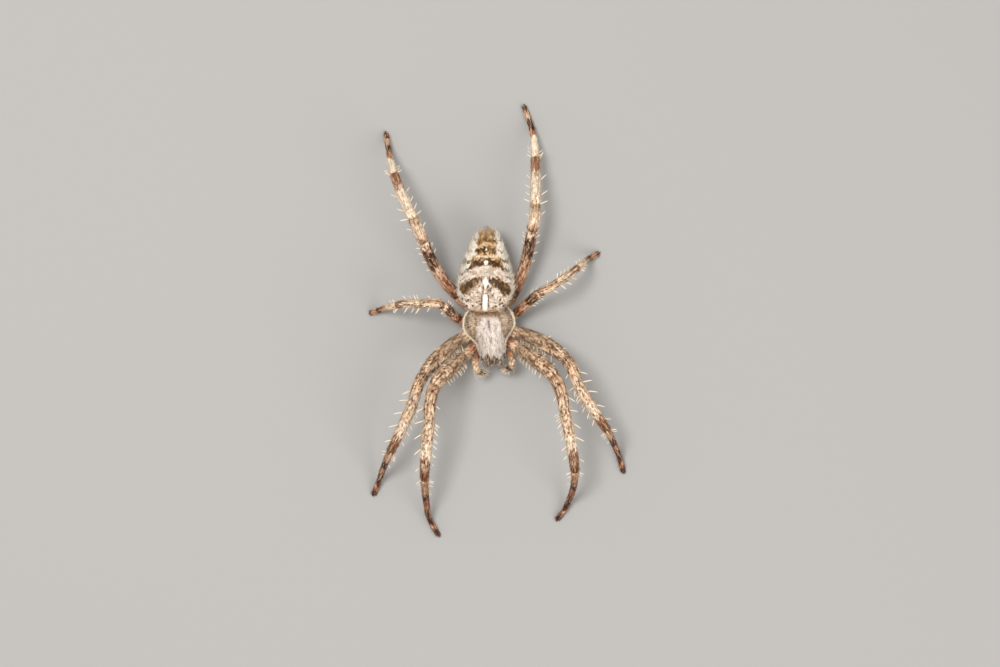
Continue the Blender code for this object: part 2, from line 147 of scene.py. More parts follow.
# ---- Abdomen. A soft, thin-walled bag of skin under short fur, pinkish cream with the pale cross, dark
# shoulder arcs and an orange-brown folium. The skin is one closed surface of rings from front to rear.
ABDOMEN_FRONT, ABDOMEN_LENGTH = -0.36, 7.2  # measured from the waist
ABDOMEN_ASIDE = -0.18  # how far aside the front of its midline is; its rear tip is at 0
COAT_DEPTH = 0.06  # how far the skin lies inside its solid
ABDOMEN_HAIRS, ABDOMEN_BRISTLES = 26000, 2600
ROOT_DEPTH = 0.02  # how far a hair's root is sunk in the skin
HAIR_OVER_FLOOR = 0.002
CUTICLE_IOR = 1.3  # low, so that dark cuticle and hair don't look grey with sheen
PATCH_BREADTH = 0.003  # of each hair's patch on the flat map, as a share of the map
END_RINGS = 7  # how many rings round off each end of a piece
# share of the length: half width, height of the back, height of the belly
ABDOMEN_STATIONS = {
    0.0: (0.9, 4.42, 3.92), 0.025: (1.46, 4.72, 3.6), 0.065: (1.8, 4.98, 3.28), 0.12: (2.04, 5.18, 2.88),
    0.2: (2.3, 5.36, 2.25), 0.29: (2.47, 5.44, 1.62), 0.42: (2.36, 5.4, 1.12), 0.56: (2.07, 5.24, 0.94),
    0.68: (1.78, 4.98, 1.0), 0.79: (1.47, 4.62, 1.24), 0.89: (1.18, 4.18, 1.62), 0.955: (0.86, 3.76, 2.02),
    0.988: (0.52, 3.4, 2.38), 1.0: (0.22, 3.12, 2.66),
}
ABDOMEN_ROWS, ABDOMEN_AROUND = 270, 290
WIDEST_LEVEL, BELLY_NARROWING = 0.54, 0.12
DIMPLES, DIMPLE_DEPTH = ((0.3, 0.62), (0.475, 0.72), (0.62, 0.55)), 0.05  # share of the length, mm aside
# distance from the midline: share of the length where a dark arc runs, and half its breadth there
SHOULDER_ARC = {
    0.25: (0.375, 0.014), 0.5: (0.367, 0.044), 1.05: (0.343, 0.056), 1.45: (0.298, 0.076),
    1.85: (0.274, 0.06), 2.15: (0.268, 0.034), 2.5: (0.262, 0.008),
}
MIDDLE_ARC = {
    0.0: (0.592, 0.034), 0.45: (0.592, 0.036), 0.83: (0.58, 0.038), 1.08: (0.558, 0.032),
    1.33: (0.532, 0.019), 1.58: (0.494, 0.013), 1.85: (0.46, 0.003),
}
# share of the length: half width of the folium
FOLIUM_EDGE = {
    0.5: (1.55,), 0.6: (1.3,), 0.65: (1.2,), 0.71: (0.95,), 0.75: (0.87,), 0.82: (0.82,), 0.86: (0.71,),
    0.91: (0.68,), 0.95: (0.56,), 1.0: (0.3,),
}
# dark lines beside the cross: strength, mm from the midline, breadth, shares where each fades in and out
CROSS_OUTLINES = (
    (1.0, 0.29, 0.065, (0.03, 0.05, 0.195, 0.215)),
    (1.0, 0.2, 0.07, (0.2, 0.22, 0.3, 0.33)),
    (1.0, 0.325, 0.07, (0.33, 0.36, 0.42, 0.44)),
    (0.8, 0.21, 0.06, (0.43, 0.45, 0.5, 0.53)),
)


def between_rows(places, table):
    """Rows of a table at places between its keys: in each gap a cubic, whose slope at a key is that of the
    parabola through the key and its two neighbours."""
    keys = np.array(sorted(table))
    rows = np.array([table[key] for key in keys], float)
    slopes = np.gradient(rows, keys, axis=0)
    places = np.clip(np.asarray(places, float), keys[0], keys[-1])
    gap = np.clip(np.searchsorted(keys, places, side="right") - 1, 0, len(keys) - 2)
    width = (keys[gap + 1] - keys[gap])[..., None]
    t = (places - keys[gap])[..., None] / width
    cubic = rows[gap] * (2 * t**3 - 3 * t**2 + 1) + rows[gap + 1] * (3 * t**2 - 2 * t**3)
    cubic += width * (slopes[gap] * (t**3 - 2 * t**2 + t) + slopes[gap + 1] * (t**3 - t**2))
    return np.moveaxis(cubic, -1, 0)


def ease(value, low, high):
    """0 before low, 1 past high, the smooth step 3q^2 - 2q^3 between. It falls where low is the higher."""
    q = np.clip((value - low) / (high - low), 0, 1)
    return q * q * (3 - 2 * q)


def window(value, rise, full, fade, end):
    """0 before rise and after end, 1 from full to fade, with smooth steps between."""
    return ease(value, rise, full) * ease(value, end, fade)


def bell(value, breadth):
    """The bell curve exp(-(value / breadth)^2)."""
    return np.exp(-((value / breadth) ** 2))


def mottle(points, size, seed):
    """Smooth random patches about `size` mm across, 0 to 1: random values on a lattice of cubes, eased
    between the cubes' corners. A size of three numbers makes patches of that breadth, length and height."""
    lattice = np.random.default_rng(seed).random((32, 32, 32))
    place = points / np.asarray(size, float) + 100.5
    cell = np.floor(place).astype(int)
    part = ease(place - cell, 0, 1)
    total = 0.0
    for corner in np.ndindex(2, 2, 2):
        i, j, k = np.moveaxis((cell + corner) % 32, -1, 0)
        total = total + lattice[i, j, k] * np.prod(np.where(corner, part, 1 - part), axis=-1)
    return total


def flecks(u, v, size, seed, wrap=64):
    """Flecks on a flat grid, one in each cell 1 wide, at a random place and of a random radius up to `size`
    cells: 1 inside one, 0 outside. The pattern repeats after `wrap` cells of u."""
    drawn = np.random.default_rng(seed).random((3, 64, 64))
    column, row = np.floor(u).astype(int), np.floor(v).astype(int)
    total = 0.0 * (u + v)
    for i in (-1, 0, 1):
        for j in (-1, 0, 1):
            middle_u, middle_v, radius = drawn[:, (column + i) % wrap % 64, (row + j) % 64]
            gap = np.hypot(u - column - i - middle_u, v - row - j - middle_v)
            total = np.maximum(total, 1 - ease(gap / (size * (0.35 + 0.65 * radius)), 0.6, 1.1))
    return total


def unit(vectors):
    """The same directions, each of length 1."""
    return vectors / np.maximum(np.linalg.norm(vectors, axis=-1, keepdims=True), 1e-9)


def round_off(rings, start_bulge, end_bulge, steps=END_RINGS):
    """Add rings that round off both ends: each shrinks on its ring's middle as the cosine of an angle from
    0 to 80 degrees, while it moves on by the bulge times the angle's sine."""
    angles = np.radians(np.linspace(0, 80, steps + 1))[1:, None, None]
    ends = []
    for end, beside, bulge in ((rings[0], rings[1], start_bulge), (rings[-1], rings[-2], end_bulge)):
        middle = end.mean(axis=0)
        onwards = unit(middle - beside.mean(axis=0))
        ends.append(middle + (end - middle)[None] * np.cos(angles) + bulge * np.sin(angles) * onwards)
    return np.concatenate([ends[0][::-1], rings, ends[1]])


def put_mesh(name, points, faces, places, marks, material):
    """Make an object from points in mm measured from the waist, groups of faces with equally many corners,
    each corner's place on the flat map, and named numbers for each point."""
    mesh = bpy.data.meshes.new(name)
    mesh.vertices.add(len(points))
    mesh.vertices.foreach_set("co", (points * MM + WAIST).astype(np.float32).ravel())
    corners = np.concatenate([group.ravel() for group in faces])
    sizes = np.concatenate([np.full(len(group), group.shape[1]) for group in faces])
    mesh.loops.add(len(corners))
    mesh.loops.foreach_set("vertex_index", corners.astype(np.int32))
    mesh.polygons.add(len(sizes))
    mesh.polygons.foreach_set("loop_start", (np.cumsum(sizes) - sizes).astype(np.int32))
    mesh.update(calc_edges=True)
    flat_map = mesh.uv_layers.new(name="OFBake")
    flat_map.uv.foreach_set("vector", np.concatenate([p.ravel() for p in places]).astype(np.float32))
    for mark_name, values in marks.items():
        attribute = mesh.attributes.new(mark_name, "FLOAT", "POINT")
        attribute.data.foreach_set("value", np.asarray(values, np.float32).ravel())
    mesh.shade_smooth()
    mesh.materials.append(material)
    return put_in_scene(name, mesh)


def join_rings(rows, around):
    """The quads between rings of points that are numbered row by row, and each point's number and that of
    the next one on its ring."""
    number = np.arange(rows * around).reshape(rows, around)
    after = np.roll(number, -1, axis=1)
    quads = np.stack([number[:-1], after[:-1], after[1:], number[1:]], axis=-1)
    return quads.reshape(-1, 4), number, after


def make_skin(name, rings, marks, material):
    """Close rings of points [row, around] into one surface, with a pole in the middle of each end ring. Its
    flat map is the share around by the share along. Returns the object and what hair needs to grow on it."""
    rows, around = rings.shape[:2]
    quads, number, after = join_rings(rows, around)
    start_fan = np.stack([np.full(around, rows * around), after[0], number[0]], axis=-1)
    end_fan = np.stack([np.full(around, rows * around + 1), number[-1], after[-1]], axis=-1)
    row, column = np.mgrid[: rows - 1, :around][..., None]
    quad_flat = np.stack([column + [0, 1, 1, 0] + 0 * row, row + [1, 1, 2, 2]], axis=-1).reshape(-1, 4, 2)
    quad_flat = quad_flat / (around, rows + 1)
    fan_u = (number[0][:, None] + [0.5, 1, 0]) / around
    fan_v = np.array([0, 1, 1]) / (rows + 1) + 0 * fan_u
    fan_flat = np.stack([fan_u, fan_v], axis=-1), np.stack([fan_u[:, [0, 2, 1]], 1 - fan_v], axis=-1)
    points = np.concatenate([rings.reshape(-1, 3), rings[[0, -1]].mean(axis=1)])
    first, second, third, fourth = (points[quads[:, i]] for i in range(4))
    outwards = np.sign((first * (np.cross(second, third) + np.cross(third, fourth))).sum())
    faces, places = (quads, start_fan, end_fan), (quad_flat, *fan_flat)
    if outwards < 0:
        faces, places = ([group[:, ::-1] for group in groups] for groups in (faces, places))
    ended = {key: np.append(value.ravel(), value[[0, -1]].mean(axis=1)) for key, value in marks.items()}
    piece = put_mesh(name, points, faces, places, ended, material)
    along = unit(np.gradient(rings, axis=0))
    across = np.roll(rings, -1, axis=1) - np.roll(rings, 1, axis=1)
    out = unit(np.cross(across, along)) * outwards
    return piece, {"rings": rings, "out": out, "along": along, "marks": marks}


def draw_roots(skin, count, density, rng):
    """Draw hair roots on a skin. A cell of its grid is drawn in proportion to its area times the density
    there, and all that a root needs is weighed from the cell's four corners."""
    rings = skin["rings"]
    rows, around = rings.shape[:2]
    aside = np.roll(rings, -1, axis=1)[:-1] - rings[:-1]
    chance = np.linalg.norm(np.cross(aside, rings[1:] - rings[:-1]), axis=-1)
    chance = chance * (density[:-1] + 1e-6)
    pick = rng.choice(chance.size, count, p=(chance / chance.sum()).ravel())
    row, col = pick // around, pick % around
    after = (col + 1) % around
    down, over = rng.random(count), rng.random(count)

    def weigh(field):
        d, o = (down, over) if field.ndim == 2 else (down[:, None], over[:, None])
        upper = field[row, col] * (1 - o) + field[row, after] * o
        lower = field[row + 1, col] * (1 - o) + field[row + 1, after] * o
        return upper * (1 - d) + lower * d

    marks = {key: weigh(value) for key, value in skin["marks"].items()}
    if "dark" in marks:  # pale hairs stand among the dark ones
        marks["dark"] = marks["dark"] * rng.uniform(0.75, 1.3, count).clip(0, 1)
    roots = {key: unit(weigh(skin[key])) for key in ("out", "along")}
    flat = np.stack([(col + over) / around, (row + 1 + down) / (rows + 1)], axis=-1)
    return {"place": weigh(rings), "flat": flat, "marks": marks, **roots}


def comb(roots, direction, stray, rng):
    """The way each hair lies: the direction laid flat on the skin, turned in the skin by a random angle."""
    flat = unit(direction - roots["out"] * (direction * roots["out"]).sum(axis=-1, keepdims=True))
    turn = rng.normal(0, math.radians(stray), len(flat))[:, None]
    return unit(flat * np.cos(turn) + np.cross(roots["out"], flat) * np.sin(turn))


def grow(name, roots, lie, material, rng, lean, curl, length, width, sides=3, steps=1, taper=0.7):
    """Grow tapered hairs. Each leaves its root at `lean` degrees over the skin and has leaned over by `curl`
    degrees at its tip: centre(q) = root + length (q leave + q^2/2 (arrive - leave)), radius(q) =
    width/2 (1 - q)^taper, with a few rings of three or more points, a pointed tip and a closed base. Lean,
    length and width may each be a range to draw from."""
    count = len(lie)
    lean, length, width = (
        (rng.uniform(*value, count) if isinstance(value, tuple) else value * np.ones(count))[:, None]
        for value in (lean, length, width)
    )
    out = roots["out"]
    leave, arrive = (lie * np.cos(angle) + out * np.sin(angle) for angle in np.radians([lean, lean - curl]))
    q = (np.arange(steps + 1) / steps)[:, None]
    centre = q * leave[:, None] + q**2 / 2 * (arrive - leave)[:, None]
    centre = (roots["place"] - out * ROOT_DEPTH)[:, None] + length[:, None] * centre
    side = unit(np.cross(leave, out))
    angle = 2 * math.pi * np.arange(sides)[:, None] / sides
    outline = side[:, None] * np.cos(angle) + np.cross(side, leave)[:, None] * np.sin(angle)
    radius = width[:, None, None] / 2 * (1 - q[:-1, None]) ** taper
    points = (centre[:, :-1, None] + radius * outline[:, None]).reshape(count, -1, 3)
    points = np.concatenate([points, centre[:, -1:]], axis=1)
    points[..., 2] = np.maximum(points[..., 2], HAIR_OVER_FLOOR)
    walls, number, after = join_rings(steps, sides)
    each = sides * steps + 1
    tips = np.stack([number[-1], after[-1], np.full(sides, each - 1)], axis=-1)
    start = (np.arange(count) * each)[:, None, None]
    faces = [(group + start).reshape(-1, group.shape[1]) for group in (number[:1, ::-1], walls, tips)]
    # each hair's faces share a patch on the flat map, at its root's place on the skin's own map
    patch = np.concatenate([np.cos(angle), np.sin(angle)], axis=1) * (1 - q[:-1, None])
    patch = np.append(patch, (0.0, 0.0)).reshape(-1, 2) * PATCH_BREADTH / 2
    flat = (np.clip(roots["flat"], 0.002, 0.998)[:, None] + patch).reshape(-1, 2)
    marks = {key: np.repeat(value, each) for key, value in roots["marks"].items()}
    marks["shade"] = np.repeat(rng.random(count), each)
    marks["tip"] = np.tile(np.append(np.repeat(np.arange(steps) / steps, sides), 1.0), count)
    return put_mesh(name, points.reshape(-1, 3), faces, [flat[group] for group in faces], marks, material)


def paint_over(name, roughness, ground, paints):
    """Start a cuticle or hair material: over the ground colour lies each paint, as far as the mesh's mark of
    that name says. Returns the material, its tree, its shader and the painted colour."""
    material, tree, shader = new_material(name, roughness, CUTICLE_IOR)
    colour = linear(ground)
    for mark_name, code in paints.items():
        mark = add_node(tree, "ShaderNodeAttribute", {"attribute_name": mark_name}, {}).outputs["Fac"]
        sockets = {0: mark, 6: colour, 7: linear(code)}
        colour = add_node(tree, "ShaderNodeMix", {"data_type": "RGBA"}, sockets).outputs[2]
    return material, tree, shader, colour


def vary(tree, shader, colour, value, contrast, low=0.0, high=1.0):
    """Darken and lighten the shader's colour by `contrast` as a value runs from low to high."""
    limits = {"From Min": low, "From Max": high, "To Min": 1 - contrast, "To Max": 1 + contrast}
    shade = add_node(tree, "ShaderNodeMapRange", {}, {"Value": value, **limits}).outputs["Result"]
    settings = {"data_type": "RGBA", "blend_type": "MULTIPLY"}
    shaded = add_node(tree, "ShaderNodeMix", settings, {0: 1.0, 6: colour, 7: shade}).outputs[2]
    tree.links.new(shaded, shader.inputs["Base Color"])


def skin_material(name, ground, paints, grain, contrast, roughness, relief):
    """A cuticle's material: painted, then speckled in grains of `grain` mm that lighten and darken it by
    `contrast` and rise `relief` mm. They are drawn coarser than the real ones, so that they show."""
    material, tree, shader, colour = paint_over(name, roughness, ground, paints)
    place = add_node(tree, "ShaderNodeTexCoord", {}, {}).outputs["Object"]
    inputs = {"Vector": place, "Scale": 1 / (grain * MM), "Detail": 3.0, "Roughness": 0.65}
    speckle = add_node(tree, "ShaderNodeTexNoise", {}, inputs).outputs["Fac"]
    vary(tree, shader, colour, speckle, contrast, 0.3, 0.7)
    inputs = {"Height": speckle, "Distance": relief * MM, "Strength": 1.0}
    bump = add_node(tree, "ShaderNodeBump", {}, inputs).outputs["Normal"]
    tree.links.new(bump, shader.inputs["Normal"])
    return material


def hair_material(name, ground, paints, tip, tip_share, contrast, roughness):
    """A coat's material. Each hair takes the colour of the mark at its root, turns towards the tip colour by
    `tip_share` at its tip, and is lighter or darker than its neighbours by `contrast`."""
    material, tree, shader, colour = paint_over(name, roughness, ground, paints)
    marks = [add_node(tree, "ShaderNodeAttribute", {"attribute_name": n}, {}) for n in ("tip", "shade")]
    inputs = {0: marks[0].outputs["Fac"], 1: tip_share}
    share = add_node(tree, "ShaderNodeMath", {"operation": "MULTIPLY"}, inputs).outputs[0]
    sockets = {0: share, 6: colour, 7: linear(tip)}
    colour = add_node(tree, "ShaderNodeMix", {"data_type": "RGBA"}, sockets).outputs[2]
    vary(tree, shader, colour, marks[1].outputs["Fac"], contrast)
    return material


def abdomen_rings():
    """Rings of the abdomen, egg-shaped and widest a little over the middle: aside = half width cos a,
    narrowed below, height = widest + rise sin a, with small dimples over the muscles of the back."""
    share = (1 - np.cos(math.pi * np.linspace(0, 1, ABDOMEN_ROWS)))[:, None] / 2
    half_width, back, belly = between_rows(share, ABDOMEN_STATIONS)
    angle = np.linspace(0, 2 * math.pi, ABDOMEN_AROUND, endpoint=False)[None]
    widest = belly + WIDEST_LEVEL * (back - belly)
    rise = np.where(np.sin(angle) > 0, back - widest, widest - belly) - COAT_DEPTH
    lower = np.clip(-np.sin(angle), 0, 1)
    aside = (half_width - COAT_DEPTH) * np.cos(angle) * (1 - BELLY_NARROWING * lower)
    aside += ABDOMEN_ASIDE * (1 - share)
    height = widest + rise * np.sin(angle)
    y = ABDOMEN_FRONT + 0.05 + share * (ABDOMEN_LENGTH - 0.1) + 0 * angle
    for dimple_share, dimple_aside in DIMPLES:
        gap_aside = np.abs(aside - ABDOMEN_ASIDE * (1 - dimple_share)) - dimple_aside
        gap = np.hypot(gap_aside, y - ABDOMEN_FRONT - dimple_share * ABDOMEN_LENGTH)
        height -= DIMPLE_DEPTH * bell(gap, 0.1) * (np.sin(angle) > 0)
    return np.stack([aside, y, height], axis=-1)


def abdomen_marks(rings):
    """The markings: how much of each paint lies at each point, from its share t of the length and its
    distance a from the midline, with edges made ragged by mottling."""
    share = (rings[..., 1] - ABDOMEN_FRONT) / ABDOMEN_LENGTH
    x = rings[..., 0] - ABDOMEN_ASIDE * (1 - share)
    gap = np.abs(x)  # from the midline
    along = share * ABDOMEN_LENGTH
    half_width, back, belly = between_rows(share, ABDOMEN_STATIONS)
    lift = (rings[..., 2] - belly) / (back - belly)  # 0 on the belly, 1 on the back
    above = ease(lift, 0.5, 0.66)
    side = gap / np.maximum(half_width, 0.3)
    coarse, ragged = mottle(rings, 0.34, 11) - 0.5, mottle(rings, 0.15, 12) - 0.5
    patches = mottle(rings, 0.2, 14)
    broken = ease(patches, 0.34, 0.52)
    t = share + 0.024 * coarse + 0.062 * ragged
    a = gap + 0.22 * coarse + 0.28 * ragged

    def band(centre, half, bend, reach):
        """A band across the folium, bent back by `bend` a millimetre, reaching `reach` mm aside."""
        inside = ease(np.abs(t - centre + bend * gap) - half, 0.01, -0.01)
        return inside * ease(a, reach + 0.1, reach - 0.08)

    def spot(place, half_length, half_breadth, power=2.0, aside=0.0):
        """A rounded spot: 1 where |t/half length|^power + |x/half breadth|^power < 1."""
        size = np.abs((share + 0.006 * ragged - place) / half_length) ** power
        size += np.abs((np.abs(x + 0.06 * ragged) - aside) / half_breadth) ** power
        return ease(size, 1.25, 0.75) * above

    # the dark arcs and the folium with its paler bands
    arc, breadth = between_rows(gap, SHOULDER_ARC)
    shoulder = ease(np.abs(t - arc) - breadth, 0.01, -0.012)
    shoulder *= ease(a, 0.24, 0.4) * ease(side, 0.97, 0.9)
    arc, breadth = between_rows(gap, MIDDLE_ARC)
    middle = ease(np.abs(t - arc) - breadth, 0.008, -0.01) * ease(gap, 1.86, 1.72)
    (edge,) = between_rows(share, FOLIUM_EDGE)
    edge = edge + 0.1 * np.abs((share / 0.105) % 1 - 0.5) * 2 - 0.05
    folium = ease(a - edge, 0.05, -0.05) * ease(t - arc + breadth, -0.012, 0.004)
    lower_chevron, upper_chevron = band(0.676, 0.032, 0.014, 1.12), band(0.817, 0.024, 0.045, 0.8)
    third, rear = band(0.745, 0.03, 0.014, 0.88), band(0.866, 0.018, 0.03, 0.72)
    blotches = ease(mottle(rings, 0.24, 28), 0.34, 0.5)
    dark = shoulder * (0.48 + 0.45 * blotches) + middle * (0.38 + 0.52 * broken)
    dark += third * (0.4 + 0.6 * broken) + rear * (0.15 + 0.38 * broken)
    leftover = folium * (1 - lower_chevron) * (1 - upper_chevron)
    dark += leftover * 0.52 * ease(mottle(rings, 0.16, 17) + 0.12 * (share < 0.66), 0.5, 0.64)

    # the cross: a bar, beads, a teardrop, dashes and round spots along the midline, dark on both sides
    bar = spot(0.108, 0.096, 0.2, 4.0)
    beads = sum(spot(place, 0.011, 0.075) for place in (0.24, 0.276))
    teardrop = spot(0.358, 0.038, 0.245) * ease(share, 0.29, 0.34) + spot(0.315, 0.035, 0.12)
    dashes = sum(spot(place, 0.0045, 0.17, 4.0) for place in (0.432, 0.452, 0.471, 0.49, 0.51))
    veil = ease(gap, 0.36, 0.15) * window(share, 0.41, 0.44, 0.55, 0.57)
    rounds = spot(0.59, 0.027, 0.175) + 0.5 * spot(0.655, 0.016, 0.13) + 0.9 * spot(0.749, 0.017, 0.075)
    pearls = sum(spot(0.662, 0.014, 0.1, aside=place) for place in (0.36, 0.62, 0.9))
    cross = np.clip(bar + 0.8 * beads + teardrop + 0.5 * veil * (1 - dashes) + rounds + 0.6 * pearls, 0, 1)
    for strength, apart, breadth, reach in CROSS_OUTLINES:
        dark += strength * bell(gap - apart, breadth) * window(share, *reach) * (0.45 + 0.55 * broken)
    dark += 0.75 * dashes

    # small dark dots before the shoulders and, fewer, on the pink band
    spread = ease(share, 0.42, 0.37) * (1 - shoulder)
    spread += 0.45 * ease(gap, 0.7, 1.2) * ease(share, 0.6, 0.55)
    dots = flecks(x / 0.36, along / 0.33, 0.34, 13)
    dots = np.maximum(dots, 0.75 * flecks(x / 0.22, along / 0.2, 0.28, 16))
    dark += 0.85 * dots * spread * ease(gap, 2.3, 1.9) * ease(share, 0.02, 0.05)

    # margins of white beads with brown between, oblique streaks down the flanks
    wave = (share - 0.622 + 0.06 * (gap - edge) + 0.05 * coarse) / 0.125
    cleft = 0.003 + 0.012 * bell(wave, 0.5) + 0.01 * (share < 0.55)
    bead = ease(np.abs(wave - np.round(wave)) * 0.125 + 0.03 * ragged, cleft, cleft + 0.014)
    margin = ease(a - edge, 0.0, 0.1) * ease(t, 0.43, 0.49) * ease(share, 0.985, 0.94) * above
    outer = ease(gap - edge, 0.45, 0.8)
    dark += margin * (1 - bead) * (0.75 + 0.15 * outer) * ease(patches, 0.1, 0.3)
    flank = ease(side, 0.7, 0.82) * window(share, 0.33, 0.38, 0.52, 0.62)
    streaks = ease(np.sin(2 * math.pi * (share * 14 + gap * 1.3 + coarse * 0.8)), 0.0, 0.6)
    dark += 0.85 * streaks * flank
    rim = bell(side - 0.955, 0.035) * window(share, 0.14, 0.2, 0.45, 0.5)
    dark = np.clip(dark, 0, 1) * above * (1 - lower_chevron * 0.75) * (1 - upper_chevron * 0.85) * (1 - rim)
    glow = sum(spot(place, 0.03, 0.24, aside=aside) for place, aside in ((0.345, 0.62), (0.355, 0.3)))
    white = np.maximum(cross, margin * (1 - folium) * (0.05 + 0.95 * bead) * (1 - 0.12 * outer))
    for patch in (0.8 * flank * (1 - streaks) * above, rim * above * 0.9, 0.45 * glow * (1 - dark)):
        white = np.maximum(white, patch)

    # pink ground, orange-brown and cream in the folium, a brown line round the front, partly painted shade
    bright = spot(0.902, 0.022, 0.17, aside=0.34) * ease(patches, 0.2, 0.4)
    tip = ease(t, 0.925, 0.945) * ease(a, 0.65, 0.45)
    pale = above * (0.45 + 0.55 * ease(patches, 0.25, 0.6)) * (1 - 0.85 * shoulder)
    pale = pale * (1 - folium * (1 - 0.95 * tip))
    # the brown line on the front face is partly painted shade, where the abdomen meets and overhangs the
    # carapace
    front_line_and_shade = ease(t, 0.036, 0.008) * ease(lift, 0.2, 0.4) * (1 - bar)
    orange = folium * above * (0.6 + 0.4 * ease(patches, 0.3, 0.6)) * (1 - 0.5 * tip)
    orange += 0.75 * shoulder * above + 0.75 * front_line_and_shade
    orange += 0.8 * margin * (1 - bead) + 0.6 * flank * streaks
    cream = (0.78 * lower_chevron + 0.95 * upper_chevron) * folium * above * (0.75 + 0.25 * broken)
    cream += 0.8 * bright
    dark = dark * (1 - 0.8 * bright) * (1 - 0.7 * tip) + 0.35 * front_line_and_shade * broken

    # below: brown flanks with paler lengthwise streaks, and a dark belly between two pale curved bars
    pale += (1 - above) * (0.3 + 0.5 * ease(mottle(rings, (0.5, 0.5, 0.1), 15), 0.45, 0.75))
    under = ease(lift, 0.3, 0.1)
    bars = bell(gap - 0.95 + 0.5 * (share - 0.5) ** 2, 0.16) * under * window(share, 0.36, 0.42, 0.62, 0.7)
    dark += under * 0.8 * ease(gap, 1.25, 0.85) * (0.7 + 0.3 * patches)
    white = np.maximum(white, 0.8 * bars)
    marks = {"pale": pale, "orange": orange, "cream": cream, "dark": dark, "white": white}
    return {key: np.clip(value, 0, 1) for key, value in marks.items()}


# soft cuticle, semi-matt and finely grained; its hair is soft and dry with paler tips
abdomen_paints = {
    "pale": "#E2CFBD", "orange": "#AF8045", "cream": "#E4C296", "dark": "#3A2207", "white": "#FFF5E4",
}
abdomen_cuticle = skin_material(
    "soft abdomen cuticle", "#93714A", abdomen_paints, grain=0.1, contrast=0.42, roughness=0.5, relief=0.05
)
hair_paints = {
    "pale": "#EEDFD0", "orange": "#CEA163", "cream": "#EBCD9E", "dark": "#4C2D0B", "white": "#FFF8EA",
}
abdomen_hair = hair_material(
    "short abdomen hair", "#B59775", hair_paints, "#FFF4E2", tip_share=0.2, contrast=0.35, roughness=0.5
)

abdomen_shape = round_off(abdomen_rings(), 0.06, 0.05)
marks = abdomen_marks(abdomen_shape)
abdomen, abdomen_skin = make_skin("abdomen_skin", abdomen_shape, marks, abdomen_cuticle)
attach(abdomen, "root")
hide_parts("abdomen")

rng = np.random.default_rng(21)
roots = draw_roots(abdomen_skin, ABDOMEN_HAIRS, 0.7 + 0.6 * marks["white"], rng)
lie = comb(roots, np.array([0.0, 1.0, -0.25]) + roots["along"] * 0.5, 16, rng)
strands = {"lean": (12, 30), "curl": 14, "length": (0.11, 0.2), "width": (0.024, 0.034)}
abdomen_coat = grow("abdomen_coat", roots, lie, abdomen_hair, rng, **strands)
abdomen_share = (abdomen_shape[..., 1] - ABDOMEN_FRONT) / ABDOMEN_LENGTH
outline = 0.15 + ease(np.abs(abdomen_skin["out"][..., 2]), 0.75, 0.2) + ease(abdomen_share, 0.75, 1.0)
roots = draw_roots(abdomen_skin, ABDOMEN_BRISTLES, outline, rng)
lie = comb(roots, np.array([0.0, 1.0, -0.1]) + roots["along"] * 0.5, 18, rng)
strands = {"lean": (30, 62), "curl": 25, "length": (0.32, 0.6), "width": (0.028, 0.038), "steps": 2}
abdomen_bristles = grow("abdomen_bristles", roots, lie, abdomen_hair, rng, **strands)
for coat in (abdomen_coat, abdomen_bristles):
    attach(coat, "root")

# ---- Front body. A hard shield over head and thorax in one, grey-brown, with the groove of the fovea and
# two grooves that part the head from the thorax. White hair lies thick on the head. It stops at the dark
# face. The shield's rim is pale. Its skin is rings from the waist to the face.
FRONT_TURN = math.radians(7)
MARGIN_LEVEL, UNDERSIDE_LEVEL = 2.5, 2.38
# ahead: half width, height of the thorax, height of the head, half width of the head, hang of the underside
CARAPACE_STATIONS = {
    -0.55: (0.55, 0.12, 0.0, 0.9, 0.36), -0.4: (1.0, 0.32, 0.0, 0.9, 0.42),
    -0.1: (1.55, 0.62, 0.0, 0.9, 0.42), 0.35: (2.04, 0.92, 0.0, 0.95, 0.34),
    0.9: (2.28, 1.14, 0.02, 1.0, 0.24), 1.4: (2.34, 1.22, 0.1, 1.05, 0.22),
    1.95: (2.2, 1.16, 0.3, 1.1, 0.22), 2.45: (1.8, 1.02, 0.56, 1.12, 0.22),
    2.9: (1.45, 0.9, 0.74, 1.14, 0.2), 3.4: (1.3, 0.84, 0.82, 1.14, 0.16),
    3.95: (1.21, 0.76, 0.8, 1.12, 0.1), 4.4: (1.13, 0.64, 0.7, 1.06, 0.04),
    4.72: (1.03, 0.48, 0.52, 0.98, 0.02), 4.9: (0.88, 0.3, 0.34, 0.88, 0.0),
    4.97: (0.72, 0.18, 0.22, 0.8, 0.0),
}
CARAPACE_ROWS, CARAPACE_TOP, CARAPACE_UNDER = 190, 200, 40
HARD_DEPTH = 0.03  # how far the hard skins lie inside their solids
HEAD_HAIRS, FACE_BRISTLES = 13000, 900
# ahead: how far aside the groove between head and thorax runs, and how far aside the white hair reaches
HEAD_GROOVE = {1.45: (0.2,), 1.9: (0.52,), 2.4: (0.86,), 2.9: (1.08,), 3.4: (1.17,), 3.6: (1.19,)}
WHITE_EDGE = {0.7: (0.45,), 1.0: (0.72,), 1.45: (1.02,), 2.0: (1.1,), 2.6: (1.22,), 3.3: (1.3,), 4.3: (1.22,)}
FOVEA_AHEAD = 1.45
# eyes: degrees outwards from straight ahead, degrees over the level, radius of the lens in mm
EYES = {
    "eye_front_middle": (12, 30, 0.125),
    "eye_rear_middle": (30, 62, 0.12),
    "eye_front_side": (32, 18, 0.1),
    "eye_rear_side": (62, 34, 0.1),
}
SIDES = {"left": 1, "right": -1}


def front_to_whole(points):
    """Turn (aside, ahead, height) on the front body into the whole spider's x, y, z, or the other way: it is
    turned on the waist, and the matrix is its own inverse."""
    turn_cos, turn_sin = math.cos(FRONT_TURN), math.sin(FRONT_TURN)
    turned = ((turn_cos, turn_sin, 0), (turn_sin, -turn_cos, 0), (0, 0, 1))
    return np.asarray(points, float) @ np.array(turned)


